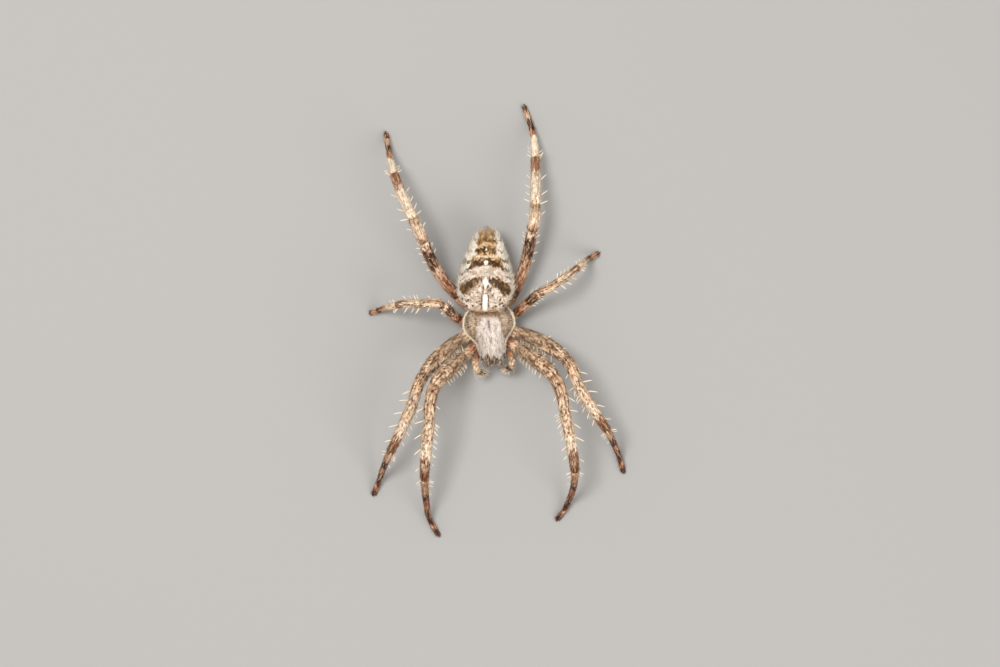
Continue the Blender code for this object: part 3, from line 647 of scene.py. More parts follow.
def heading_vector(heading, climb, sign):
    """The direction (sign sin h cos c, cos h cos c, sin c) aside, ahead and up, from angles in degrees."""
    heading, climb = math.radians(heading), math.radians(climb)
    level = math.cos(climb)
    return np.array([sign * math.sin(heading) * level, math.cos(heading) * level, math.sin(climb)])


def eye_places():
    """Each eye's middle, measured from the waist, the direction it looks in, and its radius."""
    places = {}
    for side, sign in SIDES.items():
        for eye, (outwards, upwards, radius) in EYES.items():
            sight = front_to_whole(heading_vector(outwards, upwards, sign))
            low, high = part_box(f"{eye}_{side}")
            places[f"{eye}_{side}"] = (np.array((low + high) / 2) - WAIST) / MM, sight, radius
    return places


def carapace_rings(eyes):
    """Rings across the shield. Height over the rim = thorax arch^1.15 + head crown, where the arch is
    sqrt(1 - across^2) and the crown exp(-(across/0.92)^4). Grooves are cut where the head meets the thorax,
    at the fovea and, shallower, like spokes from it. Under each eye the skin rises along its sight in a
    low mound, a bell curve of the distance."""
    ahead = np.linspace(-0.55 + COAT_DEPTH, 4.97 - COAT_DEPTH, CARAPACE_ROWS)[:, None]
    half_width, thorax, head, head_half, hang = between_rows(ahead, CARAPACE_STATIONS)
    half_width = half_width - HARD_DEPTH
    across = np.sin(np.linspace(-math.pi / 2, math.pi / 2, CARAPACE_TOP))[None]
    aside = across * half_width
    arch = np.sqrt(np.clip(1 - across**2, 0, 1)) ** 1.15
    inner = np.clip(arch * 1.6, 0, 1)
    crown = np.exp(-((np.abs(aside / head_half) / 0.92) ** 4)) * inner
    top = MARGIN_LEVEL - HARD_DEPTH + thorax * arch + head * crown - 0.05 * inner
    (groove,) = between_rows(ahead, HEAD_GROOVE)
    top -= 0.09 * window(ahead, 1.3, 1.8, 3.3, 3.7) * bell(np.abs(aside) - groove, 0.11)
    top -= 0.16 * window(ahead, 0.9, 1.2, 1.8, 2.1) * bell(aside, 0.1)
    bearing, reach = np.arctan2(np.abs(aside), ahead - FOVEA_AHEAD), np.hypot(aside, ahead - FOVEA_AHEAD)
    spokes = sum(bell(bearing - math.radians(angle), 0.1) for angle in (58, 92, 128))
    top -= 0.05 * spokes * window(reach, 0.35, 0.7, 1.5, 2.0)
    under = np.linspace(0.95, -0.95, CARAPACE_UNDER)[None]
    bottom = UNDERSIDE_LEVEL + 0.04 - hang * (1 - under**2) ** 1.5
    aside = np.concatenate([aside, under * half_width], axis=1)
    height = np.concatenate([top, bottom], axis=1)
    rings = round_off(front_to_whole(np.stack([aside, ahead + 0 * aside, height], axis=-1)), 0.05, 0.1)
    for middle, sight, radius in eyes.values():
        gap = np.linalg.norm(rings - (middle - sight * 0.06), axis=-1, keepdims=True)
        rings = rings + sight * 0.06 * bell(gap, radius * 1.6)
    return rings


def carapace_marks(rings):
    """White where the head's hair lies thickest, a pale rim, brown streaks fanning out from the fovea over
    the thorax, dark in the fovea and on the face, and red-brown round the middle eyes. On the rear, under
    the abdomen's front, lies painted shade in red-brown."""
    front = front_to_whole(rings)
    aside, ahead, height = np.moveaxis(front, -1, 0)
    gap = np.abs(aside)
    streaks = mottle(front, (0.09, 0.5, 0.5), 31)
    ragged = mottle(rings, 0.2, 33) - 0.5
    half_width, *_ = between_rows(ahead, CARAPACE_STATIONS)
    (white_edge,) = between_rows(ahead, WHITE_EDGE)
    rim = np.clip(1.3 * bell(gap - half_width + 0.09, 0.09) * ease(ahead, 3.6, 3.0), 0, 1)
    rim = rim * ease(height, MARGIN_LEVEL - 0.15, MARGIN_LEVEL) * ease(ahead, -0.3, 0.2)
    notches = 0.16 * np.sin(aside * 9.0) * ease(ahead, 3.6, 4.0)
    head = ease(gap - white_edge + 0.45 * ragged, 0.14, -0.14) * ease(ahead + 0.4 * ragged, 0.55, 1.0)
    head = head * ease(ahead + 0.5 * ragged + notches, 4.25, 4.05)
    face = ease(ahead + 0.4 * ragged + notches, 4.12, 4.34)
    thorax = (1 - head) * (1 - face)
    fovea = bell(aside, 0.06) * window(ahead, 0.95, 1.15, 1.8, 2.1)
    lines = bell(gap - 0.06, 0.03) * window(ahead, 2.3, 2.5, 3.0, 3.3)
    dashes = flecks(aside / 0.13, ahead / 0.55, 0.36, 34)
    bearing, reach = np.arctan2(aside, ahead - FOVEA_AHEAD), np.hypot(aside, ahead - FOVEA_AHEAD)
    fan = flecks(bearing / 0.062 + 40, reach / 0.42, 0.4, 35)
    hairs = flecks(aside / 0.17, ahead / 0.34 + height / 0.4, 0.4, 36)
    white = head * (0.55 + 0.45 * ease(streaks, 0.3, 0.52)) * (1 - 0.6 * dashes)
    white = white * (1 - 0.85 * np.clip(fovea + lines, 0, 1))
    pale = thorax * (0.35 + 0.65 * ease(streaks, 0.32, 0.6)) + face * 0.85 * hairs
    dark = thorax * (0.85 * fan + 0.4 * window(half_width - gap, 0.1, 0.22, 0.3, 0.8))
    dark += fovea * 0.9 + lines + face * 0.85 * (1 - 0.8 * hairs) + head * 0.45 * dashes
    dark = dark * (1 - rim) + 0.5 * ease(height, MARGIN_LEVEL - 0.02, MARGIN_LEVEL - 0.15)
    red = face * (0.6 + 0.4 * bell(aside, 0.4) * ease(height, 3.0, 3.3))
    # painted shade in red-brown on the shield's rear, just before and under the abdomen's overhanging front
    red += ease(ahead, 0.85, 0.35) * ease(gap, 1.4, 0.8) * 0.7
    marks = {"pale": pale, "orange": red, "dark": dark, "white": white, "rim": rim}
    return {key: np.clip(value, 0, 1) for key, value in marks.items()}


# hard cuticle shines a little more than the abdomen's; the head's hair is straight, white and silky
shield_paints = {
    "pale": "#C0A98F", "orange": "#8A4A22", "dark": "#2A1406", "white": "#E4D6CB", "rim": "#F6EAD0",
}
carapace_cuticle = skin_material(
    "hard carapace cuticle", "#86694C", shield_paints, grain=0.1, contrast=0.35, roughness=0.45, relief=0.03
)
head_paints = {
    "pale": "#D5C0A7", "orange": "#A8653A", "dark": "#45260E", "white": "#FAF0E8", "rim": "#FFF3DC",
}
carapace_hair = hair_material(
    "white recumbent head hair", "#B89B7C", head_paints, "#FFFAF2",
    tip_share=0.2, contrast=0.32, roughness=0.5,
)
eyes = eye_places()
carapace_shape = carapace_rings(eyes)
marks = carapace_marks(carapace_shape)
carapace, carapace_skin = make_skin("carapace_skin", carapace_shape, marks, carapace_cuticle)
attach(carapace, "root")
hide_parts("carapace")

AHEAD, FOVEA = front_to_whole((0.0, 1.0, 0.0)), front_to_whole((0.0, 1.5, 3.7))
upwards = carapace_skin["out"][..., 2]
open_skin = ease(upwards, 0.0, 0.3) + 0.3 * ease(-upwards, 0.2, 0.6)
for eye_middle, _, eye_radius in eyes.values():
    gap = np.linalg.norm(carapace_shape - eye_middle, axis=-1)
    open_skin = open_skin * ease(gap, eye_radius * 1.1, eye_radius * 1.5)
roots = draw_roots(carapace_skin, HEAD_HAIRS, (0.28 + marks["white"]) * open_skin, rng)
on_head = ease((roots["place"] * AHEAD).sum(axis=-1, keepdims=True), 1.2, 2.6)
lie = comb(roots, AHEAD * on_head + unit(FOVEA - roots["place"]) * (1 - on_head), 14, rng)
strands = {"lean": (8, 22), "curl": 12, "length": (0.16, 0.3), "width": (0.026, 0.036)}
carapace_coat = grow("carapace_coat", roots, lie, carapace_hair, rng, **strands)
on_face = ease((carapace_shape * AHEAD).sum(axis=-1), 3.9, 4.3)
roots = draw_roots(carapace_skin, FACE_BRISTLES, (0.12 + on_face) * open_skin, rng)
roots["marks"]["rim"] = np.maximum(roots["marks"]["rim"], 0.8 * (rng.random(FACE_BRISTLES) < 0.35))
lie = comb(roots, AHEAD, 25, rng)
strands = {"lean": (25, 60), "curl": 30, "length": (0.24, 0.46), "width": 0.034, "steps": 2}
face_bristles = grow("face_bristles", roots, lie, carapace_hair, rng, **strands)
for coat in (carapace_coat, face_bristles):
    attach(coat, "root")

# ---- Eyes. Eight smooth glossy black lenses on low mounds: four in a square on the face's middle and a
# pair at each corner of the head. Each is a flattened ball of rings cos a wide at sin a along its sight, sunk
# to its middle in its mound.
EYE_FLATNESS, EYE_SUNK, EYE_ROWS, EYE_AROUND = 0.8, 0.03, 14, 24
# a wet-looking lens with one sharp highlight
lens, _, lens_shader = new_material("glossy eye lens", 0.06, 1.45, "#120A07")
lens_shader.inputs["Coat Weight"].default_value = 0.6


def tube_rings(centres, radii, around, outer=1):
    """Rings square to a line of centres: angle 0 points aside, the other way if outer is -1, and 90
    degrees up."""
    directions = unit(np.gradient(centres, axis=0))
    level = np.cross(directions, (0.0, 0.0, 1.0))
    short = np.linalg.norm(level, axis=-1, keepdims=True) < 0.02
    level = unit(np.where(short, (1.0, 0.0, 0.0), level))
    upright = np.cross(level, directions)
    angle = np.linspace(0, 2 * math.pi, around, endpoint=False)[None, :, None]
    outline = np.cos(angle) * level[:, None] * outer + np.sin(angle) * upright[:, None]
    return centres[:, None] + np.asarray(radii)[:, None, None] * outline


latitude = np.linspace(-math.pi / 2, math.pi / 2, EYE_ROWS + 2)[1:-1]
for eye_name, (eye_middle, sight, eye_radius) in eyes.items():
    centres = eye_middle + sight * (EYE_FLATNESS * eye_radius * np.sin(latitude)[:, None] - EYE_SUNK)
    shape = tube_rings(centres, eye_radius * np.cos(latitude), EYE_AROUND)
    eye, _ = make_skin(f"{eye_name}_lens", shape, {}, lens)
    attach(eye, "root")
    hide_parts(eye_name)

# ---- Belly of the front body. The heart-shaped breastplate (sternum), the lip and the two mouth lobes, dark
# brown and smooth, with thin pale hair. Each is a plate flat on top and rounded below.
# ahead: half width, depth
STERNUM_STATIONS = {
    0.75: (0.1, 0.4), 0.95: (0.22, 0.66), 1.45: (0.52, 0.84), 2.1: (0.66, 0.9), 2.7: (0.6, 0.86),
    3.02: (0.46, 0.74), 3.12: (0.38, 0.62),
}
MOUTH_STATIONS = {
    3.24: (0.5, 0.66), 3.42: (0.66, 0.9), 3.75: (0.8, 1.02), 3.98: (0.78, 0.94), 4.08: (0.66, 0.78),
}
# name: stations, level of its top, rings
PLATES = {"sternum": (STERNUM_STATIONS, 2.08, 60), "mouthparts": (MOUTH_STATIONS, 2.18, 44)}
PLATE_AROUND, PLATE_TOP_POINTS = 72, 16
PLATE_HAIRS = 700
BELLY_STRANDS = {"lean": (20, 45), "curl": 20, "length": 0.26, "width": 0.024}


def plate_rings(stations, top, rows):
    """Aside, ahead and height of a plate under the body: the underside is half width |cos a|^0.7 aside and
    3/4 depth sin a down, and the upper side is flat."""
    ahead = np.linspace(min(stations), max(stations), rows)[:, None]
    half_width, depth = between_rows(ahead, stations) - HARD_DEPTH
    angle = np.linspace(math.pi, 2 * math.pi, PLATE_AROUND - PLATE_TOP_POINTS)[None]
    below = half_width * np.sign(np.cos(angle)) * np.abs(np.cos(angle)) ** 0.7
    flat = half_width * np.linspace(0.9, -0.9, PLATE_TOP_POINTS)[None]
    aside = np.concatenate([below, flat], axis=1)
    lower = top - 0.25 * depth + 0.75 * depth * np.sin(angle)
    height = np.concatenate([lower, top - HARD_DEPTH + 0 * flat], axis=1)
    return aside, ahead + 0 * aside, height


# smooth dark cuticle with a dull shine, under thin soft hair
belly_paints = {"pale": "#A88A5E", "orange": "#7A4A28"}
belly_cuticle = skin_material(
    "smooth belly cuticle", "#4A3220", belly_paints, grain=0.1, contrast=0.2, roughness=0.38, relief=0.01
)
belly_hair = hair_material(
    "thin belly hair", "#B39A78", {"dark": "#8A6E4E"}, "#F0E4CF", tip_share=0.4, contrast=0.25, roughness=0.5
)
for plate_name, plate_form in PLATES.items():
    aside, ahead, height = plate_rings(*plate_form)
    if plate_name == "sternum":
        pale = bell(aside, 0.16) * window(ahead, 1.0, 1.5, 2.6, 3.0)
    else:  # grooves part the lip from the two lobes
        pale = ease(ahead, 3.85, 4.05)
        low = ease(-height, -height.mean() - 0.2, -height.mean() + 0.1)
        lip_side = 0.3 * ease(ahead, 3.72, 3.5)
        height = height + 0.22 * low * bell(np.abs(aside) - lip_side, 0.045)
    shape = round_off(front_to_whole(np.stack([aside, ahead, height], axis=-1)), 0.04, 0.05)
    pale = np.pad(pale, ((END_RINGS, END_RINGS), (0, 0)), mode="edge")
    marks = {"pale": pale, "orange": 0.5 * mottle(shape, 0.3, 41), "dark": 0 * pale}
    plate, plate_skin = make_skin(f"{plate_name}_skin", shape, marks, belly_cuticle)
    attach(plate, "root")
    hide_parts(plate_name)
    roots = draw_roots(plate_skin, PLATE_HAIRS, ease(-plate_skin["out"][..., 2], 0.1, 0.5), rng)
    lie = comb(roots, AHEAD, 20, rng)
    coat = grow(f"{plate_name}_hair", roots, lie, belly_hair, rng, **BELLY_STRANDS)
    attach(coat, "root")

# ---- Waist and spinnerets. The narrow pedicel joins the two halves of the body. Under the abdomen's rear
# stand three pairs of spinnerets in a tight cone. All are tubes of brown cuticle along short lines.
PEDICEL_LINE = ((-0.07, 0.5, 2.22), (-0.04, 0.8, 2.16), (0.0, 1.05, 2.12), (0.0, 1.25, 2.06))
PEDICEL_RADIUS, PEDICEL_ROWS = 0.24, 24
SPINNERET_ROWS, SPINNERET_HAIRS = 16, 160
# aside, along from the waist, height: where each spinneret of the left side starts and ends, and its radii
SPINNERETS = {
    "front": ((0.2, 5.5, 1.24), (0.1, 5.77, 0.62), 0.22, 0.12),
    "middle": ((0.08, 5.65, 1.24), (0.05, 5.85, 0.68), 0.1, 0.06),
    "rear": ((0.2, 5.78, 1.32), (0.13, 5.99, 0.74), 0.19, 0.1),
}


def line_points(line, rows, sign=1):
    """Points evenly spread by length on a smooth curve through the places of a line, with its other columns
    carried along. A sign of -1 mirrors it to the right."""
    line = np.asarray(line, float)
    reach = np.concatenate([[0], np.cumsum(np.linalg.norm(np.diff(line[:, :3], axis=0), axis=1))])
    table = {key: tuple(row) for key, row in zip((reach / reach[-1]).tolist(), line)}
    points = between_rows(np.linspace(0, 1, rows), table)
    points[0] *= sign
    return points.T


swell = 1 + 0.06 * np.sin(np.linspace(0, 9, PEDICEL_ROWS))
shape = tube_rings(line_points(PEDICEL_LINE, PEDICEL_ROWS), PEDICEL_RADIUS * swell, around=32)
blank = np.zeros(shape.shape[:2])
marks = {"pale": blank, "orange": blank + 0.8, "dark": blank}
pedicel, _ = make_skin("pedicel_skin", shape, marks, belly_cuticle)
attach(pedicel, "root")
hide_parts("pedicel")
share = np.linspace(0, 1, SPINNERET_ROWS)
for spinneret_name, (start, end, base_radius, tip_radius) in SPINNERETS.items():
    for side, sign in SIDES.items():
        centres = line_points((start, end), SPINNERET_ROWS, sign)
        radii = base_radius + (tip_radius - base_radius) * share**1.4
        radii = radii * (1 - 0.1 * bell(share - 0.6, 0.05))
        shape = round_off(tube_rings(centres, radii, around=28), 0.02, tip_radius * 0.8)
        tip = ease(-shape[..., 2], -0.95, -0.6)
        marks = {"pale": 0.8 * tip, "orange": 0 * tip + 0.5, "dark": 0 * tip}
        name = f"spinneret_{spinneret_name}_{side}"
        spinneret, spinneret_skin = make_skin(name, shape, marks, belly_cuticle)
        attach(spinneret, "root")
        if name == "spinneret_front_left":
            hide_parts("spinnerets")
        roots = draw_roots(spinneret_skin, SPINNERET_HAIRS, 0 * tip + 1, rng)
        lie = comb(roots, roots["along"] + np.array([0.0, 0.0, -1.0]), 15, rng)
        coat = grow(f"{name}_hair", roots, lie, belly_hair, rng, lean=35, curl=20, length=0.2, width=0.022)
        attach(coat, "root")

# ---- Jaws. Two stout chelicerae hang from the face, brown and shiny with hair on the front, and each ends in
# a thin, hard, dark red fang folded inwards. They are tubes along curved lines.
# aside, ahead, height, radius
JAW_LINE = (
    (0.47, 4.56, 2.4, 0.33), (0.48, 4.62, 2.0, 0.37), (0.49, 4.66, 1.6, 0.39), (0.47, 4.68, 1.2, 0.35),
    (0.44, 4.68, 0.92, 0.27), (0.42, 4.68, 0.8, 0.18),
)
FANG_LINE = (
    (0.42, 4.68, 0.8, 0.13), (0.4, 4.66, 0.66, 0.12), (0.34, 4.6, 0.56, 0.1), (0.26, 4.48, 0.46, 0.07),
    (0.18, 4.34, 0.42, 0.03),
)
# thick hard cuticle shines most; the fang's is polished by use
jaw_paints = {"pale": "#A67C4C", "dark": "#2C1A0E"}
jaw_cuticle = skin_material(
    "shiny jaw cuticle", "#5B3A20", jaw_paints, grain=0.12, contrast=0.15, roughness=0.25, relief=0.006
)
fang_cuticle, _, _ = new_material("polished fang cuticle", 0.15, 1.55, "#2A0D07")
JAWS = {"chelicera": (JAW_LINE, 50, jaw_cuticle), "fang": (FANG_LINE, 30, fang_cuticle)}
JAW_HAIRS = 700
for side, sign in SIDES.items():
    for jaw_name, (line, rows, material) in JAWS.items():
        values = line_points(line, rows, sign)
        shape = round_off(tube_rings(front_to_whole(values[:, :3]), values[:, 3], around=40), 0.03, 0.03)
        share = np.linspace(0, 1, len(shape))[:, None] + 0 * shape[..., 0]
        marks = {"pale": 0.7 * ease(share, 0.45, 0.1), "dark": ease(share, 0.55, 0.9)}
        jaw, jaw_skin = make_skin(f"{jaw_name}_{side}_skin", shape, marks, material)
        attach(jaw, "root")
        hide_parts(f"{jaw_name}_{side}")
        if jaw_name == "chelicera":
            front = ease((jaw_skin["out"] * AHEAD).sum(axis=-1), 0.0, 0.5)
            roots = draw_roots(jaw_skin, JAW_HAIRS, front * (1.2 - share), rng)
            lie = comb(roots, roots["along"], 18, rng)
            coat = grow(f"chelicera_{side}_hair", roots, lie, belly_hair, rng, **BELLY_STRANDS)
            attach(coat, "root")

# ---- Legs. Eight legs of hard cuticle: coxa, trochanter, femur, patella, tibia, metatarsus and tarsus, each
# a tube that narrows into its joints. Cream with brown streaks, dots and rings, under fine pale hair. One
# continuous skin replaces each leg's five solids.
LEG_LENGTHS = {
    "1": (5.9, 3.05, 5.65, 4.85, 2.1),
    "2": (5.6, 2.5, 5.1, 4.1, 1.75),
    "3": (3.4, 2.0, 2.5, 2.7, 1.3),
    "4": (6.1, 2.4, 4.4, 3.3, 1.95),
}
# for each segment from the femur on: radius at its start and its end, and how much it swells between them
LEG_RADII = {
    "1": ((0.52, 0.55, 0.17), (0.53, 0.49, 0.05), (0.49, 0.41, 0.05), (0.36, 0.29, 0.0), (0.27, 0.265, 0.0)),
    "2": ((0.52, 0.53, 0.16), (0.52, 0.48, 0.05), (0.48, 0.4, 0.04), (0.35, 0.28, 0.0), (0.27, 0.265, 0.0)),
    "3": ((0.4, 0.4, 0.05), (0.39, 0.37, 0.03), (0.37, 0.32, 0.02), (0.3, 0.27, 0.0), (0.265, 0.265, 0.0)),
    "4": ((0.46, 0.47, 0.05), (0.48, 0.46, 0.05), (0.46, 0.42, 0.02), (0.36, 0.28, 0.0), (0.27, 0.265, 0.0)),
}
# aside, ahead, radius
COXA_ROOTS = {"1": (0.77, 2.82, 0.34), "2": (0.82, 2.11, 0.33), "3": (0.7, 1.5, 0.3), "4": (0.4, 0.94, 0.26)}
COXA_ROOT_LEVEL, HIP_LEVEL, COXA_SWELL = 1.64, 1.78, 0.06
FOOT_LEVEL = 0.09  # height of the tarsus's middle at its tip
JOINT_PULL = 1.8
# hip aside and ahead; headings from straight ahead of femur, patella, tibia, metatarsus and tarsus; their
# climbs over the level, but for the metatarsus's, which lets the foot down to the floor; their bows in mm
POSES = {
    "leg1_left": ((2.35, 3.8), (50.5, 17, 10, -10, -31), (49, 6, -18, -20), (0.05, 0.14, 0.07, 0.08, 0.06)),
    "leg1_right": ((2.58, 3.93), (43.5, 9, 5, -5, -27), (54, 3, -24, -22), (0.03, 0.12, 0.05, 0, 0.04)),
    "leg2_left": ((2.42, 2.46), (61, 26, 32.5, 25.5, 16), (33, 20, -18, -25), (0.16, 0.08, -0.08, 0, 0)),
    "leg2_right": ((2.44, 2.34), (46, 22, 24.7, 23, 21), (36, 8, -15, -27), (0.13, 0.12, -0.05, 0.04, 0)),
    "leg3_left": (
        (2.34, 0.84), (130.5, 120.5, 126.5, 129, 120.5), (34, 24, -29, -37), (0.06, -0.04, -0.04, 0, 0),
    ),
    "leg3_right": ((2.5, 0.72), (130.5, 94.5, 88, 76, 72), (58, -3, -34, -38), (-0.04, 0.16, 0.08, 0, 0)),
    "leg4_left": (
        (2.28, -0.74), (163, 172.5, 180, 187, 198.5), (16, 8, -22, -12), (-0.2, -0.08, 0, -0.06, 0.02),
    ),
    "leg4_right": (
        (2.36, -1.26), (147.7, 155.3, 157, 166, 170.5), (25, 15, -19, -30), (-0.28, 0.04, -0.04, 0, 0),
    ),
}
LEG_STEP = 0.05  # spacing of the rings along a leg
LEG_AROUND = 48
# rings of colour: start, end and strength. A place along a leg is its segment's number, from 0 for the coxa
# to 5 for the tarsus, plus the share of that segment. A ring is only on the segment where its middle lies.
FRONT_LEG_RINGS = {
    "dark": (
        (1.0, 1.45, 0.35), (1.86, 1.93, 0.45), (1.95, 2.1, 0.6), (2.95, 3.06, 0.5), (3.6, 3.76, 0.45),
        (3.72, 4.05, 0.75), (3.98, 4.34, 0.3), (4.3, 4.58, 1.0), (4.68, 5.05, 1.0), (4.95, 5.4, 1.0),
        (5.56, 6.05, 1.0),
    ),
    "orange": (
        (0.0, 0.58, 1.0), (2.0, 2.22, 0.65), (3.6, 4.05, 1.0), (3.98, 4.38, 0.75), (4.34, 5.05, 1.0),
        (4.95, 6.05, 1.0),
    ),
    "white": ((1.92, 2.01, 0.8), (2.8, 2.98, 0.4), (3.12, 3.35, 0.35), (3.4, 3.6, 0.85), (4.02, 4.24, 0.28)),
}
REAR_LEG_RINGS = {
    "dark": (
        (0.98, 1.22, 0.8), (1.56, 1.9, 1.0), (1.98, 2.16, 0.8), (2.75, 3.0, 0.45), (3.62, 3.86, 0.25),
        (3.84, 4.05, 0.6), (4.85, 5.05, 1.0), (4.95, 5.36, 1.0), (5.74, 6.05, 0.95),
    ),
    "orange": (
        (0.2, 1.02, 0.7), (1.0, 1.4, 1.0), (1.34, 1.6, 0.5), (1.5, 1.92, 0.8), (2.0, 2.3, 0.6),
        (3.6, 4.05, 0.8), (4.6, 5.0, 0.9), (4.95, 6.05, 0.75),
    ),
    "white": (
        (1.25, 1.52, 0.55), (1.91, 2.01, 0.95), (2.25, 2.8, 0.6), (3.02, 3.66, 1.0), (4.02, 4.6, 1.0),
        (5.42, 5.7, 0.6),
    ),
}
# spines: places along the leg, angle from the leg's rear side (0) over its top (90) to its front side (180),
# length and width in mm
FRONT_LEG_SPINES = (
    ((1.16, 1.22, 1.28, 1.34, 1.4, 1.46, 1.52, 1.59, 1.67), 175, 0.6, 0.085),
    ((1.19, 1.26, 1.33, 1.41, 1.5, 1.6, 1.74), 155, 0.54, 0.085),
    ((1.35, 1.58, 1.8), 95, 0.36, 0.09), ((1.55, 1.8), 20, 0.42, 0.11),
    ((2.62,), 8, 0.74, 0.13), ((2.55,), 172, 0.5, 0.12), ((2.1, 2.95), 92, 0.45, 0.1),
    ((3.02, 3.27, 3.47), 6, 0.86, 0.135), ((3.72,), 12, 0.62, 0.12),
    ((3.06, 3.15, 3.24, 3.33, 3.43, 3.53, 3.66), 186, 0.62, 0.12),
    ((3.1, 3.2, 3.38, 3.58), 208, 0.55, 0.11), ((3.18, 3.6), 90, 0.5, 0.1),
    ((4.04, 4.12), 4, 0.52, 0.11), ((4.03, 4.1, 4.2), 182, 0.56, 0.11), ((4.42,), 182, 0.4, 0.1),
)
REAR_LEG_SPINES = (
    ((1.72, 1.8, 1.88), 5, 0.42, 0.1), ((1.55, 1.66, 1.76, 1.86, 1.95), 176, 0.46, 0.1),
    ((1.4, 1.7), 92, 0.36, 0.09), ((2.6,), 176, 0.6, 0.12), ((2.55,), 6, 0.45, 0.11),
    ((2.1, 2.95), 92, 0.45, 0.1), ((3.02, 3.25, 3.5, 3.95), 178, 0.74, 0.13),
    ((3.06, 3.2, 3.36, 3.52), 4, 0.6, 0.12), ((3.2, 3.6), 92, 0.5, 0.1),
    ((4.04, 4.14, 4.28), 4, 0.5, 0.11), ((4.05, 4.18), 178, 0.5, 0.11),
)
LEG_COAT_DEPTH = 0.05  # how far a leg's skin lies inside its solids
LEG_OVER_FLOOR = 0.004
LONG_LEG_HAIRS, SHORT_LEG_HAIRS = (6000, 700), (3600, 450)  # how many hairs in the coat, how many bristles
COAT_STRANDS = {"lean": (12, 30), "curl": 12, "length": (0.2, 0.34), "width": (0.022, 0.032)}
BRISTLE_STRANDS = {"lean": (35, 60), "curl": 25, "length": (0.26, 0.42), "width": 0.028, "steps": 2}
SPINE_FORM = {"lean": (50, 66), "curl": 12, "sides": 6, "steps": 5, "taper": 0.4}
CLAW_LENGTH, CLAW_RADIUS, CLAW_APART = 0.16, 0.028, 0.045


def leg_course(leg):
    """A leg's centre line with its radius, segment number and share of the segment at each ring.

    Between two joints the line is a cubic curve that leaves and arrives in the directions halfway between
    neighbouring segments, plus the bow (4q(1-q))^2 outwards. The radius runs from start to end by the smooth
    step, plus swell sin(pi q).
    """
    pair, sign = leg[3], SIDES[leg.split("_")[1]]
    hip, headings, climbs, bows = POSES[leg]
    lengths = LEG_LENGTHS[pair]
    aside, ahead, root_radius = COXA_ROOTS[pair]
    *femur_to_tibia, tarsus_climb = climbs
    fall = HIP_LEVEL - FOOT_LEVEL
    fall += sum(n * math.sin(math.radians(c)) for n, c in zip((*lengths[:3], lengths[4]), climbs))
    climbs = (*femur_to_tibia, -math.degrees(math.asin(fall / lengths[3])), tarsus_climb)
    joints = [(aside * sign, ahead, COXA_ROOT_LEVEL), (hip[0] * sign, hip[1], HIP_LEVEL)]
    joints = list(front_to_whole(joints))
    for length, heading, climb in zip(lengths, headings, climbs):
        joints.append(joints[-1] + length * heading_vector(heading, climb, sign) * (1, -1, 1))
    radii = ((root_radius, LEG_RADII[pair][0][0] + 0.02, COXA_SWELL), *LEG_RADII[pair])
    ways = unit(np.diff(joints, axis=0))
    turns = unit(np.concatenate([ways[:1], ways[:-1] + ways[1:], ways[-1:]]))
    parts = []
    for number, (bow, (first, last, swell)) in enumerate(zip((0.0, *bows), radii)):
        start, end = joints[number : number + 2]
        length = np.linalg.norm(end - start)
        rings = max(8, round(length / LEG_STEP))
        q = (np.arange(rings + (number == 5)) / rings)[:, None]
        pull = min(JOINT_PULL, 0.8 * length)
        outwards = np.cross(ways[number], (0.0, 0.0, -sign))
        line = start * (2 * q**3 - 3 * q**2 + 1) + end * (3 * q**2 - 2 * q**3)
        line = line + pull * (turns[number] * (q**3 - 2 * q**2 + q) + turns[number + 1] * (q**3 - q**2))
        line = line + bow * (4 * q * (1 - q)) ** 2 * unit(outwards)
        radius = first + (last - first) * (3 * q**2 - 2 * q**3) + swell * np.sin(math.pi * q)
        parts.append(np.concatenate([line, radius, number + 0 * q, q], axis=1))
    return np.concatenate(parts), sign


def leg_radius(course):
    """The skin's radius: the solid's less the coat's depth, smoothed over the joints, drawn in by 9 to 16%
    at each joint with a slight collar on both sides, and rounded off at the tip of the foot."""
    radius, number, share = course[:, 3] - LEG_COAT_DEPTH, course[:, 4], course[:, 5]
    reach = np.concatenate([[0], np.cumsum(np.linalg.norm(np.diff(course[:, :3], axis=0), axis=1))])
    radius = np.convolve(np.pad(radius, 3, mode="edge"), np.ones(7) / 7, mode="valid")
    trochanter = reach[np.argmax((number == 0) & (share > 0.62))]
    starts = [reach[np.argmax(number == k)] for k in range(1, 6)]
    for joint, draw in zip([trochanter, *starts], (0.12, 0.16, 0.15, 0.1, 0.13, 0.09)):
        gap = reach - joint
        radius = radius * (1 - draw * bell(gap, 0.11)) * (1 + 0.05 * bell(np.abs(gap) - 0.28, 0.13))
    tip = 1 - np.clip((reach[-1] - reach) / 0.22, 0, 1)
    return radius * np.sqrt(1 - 0.75 * tip**2), reach


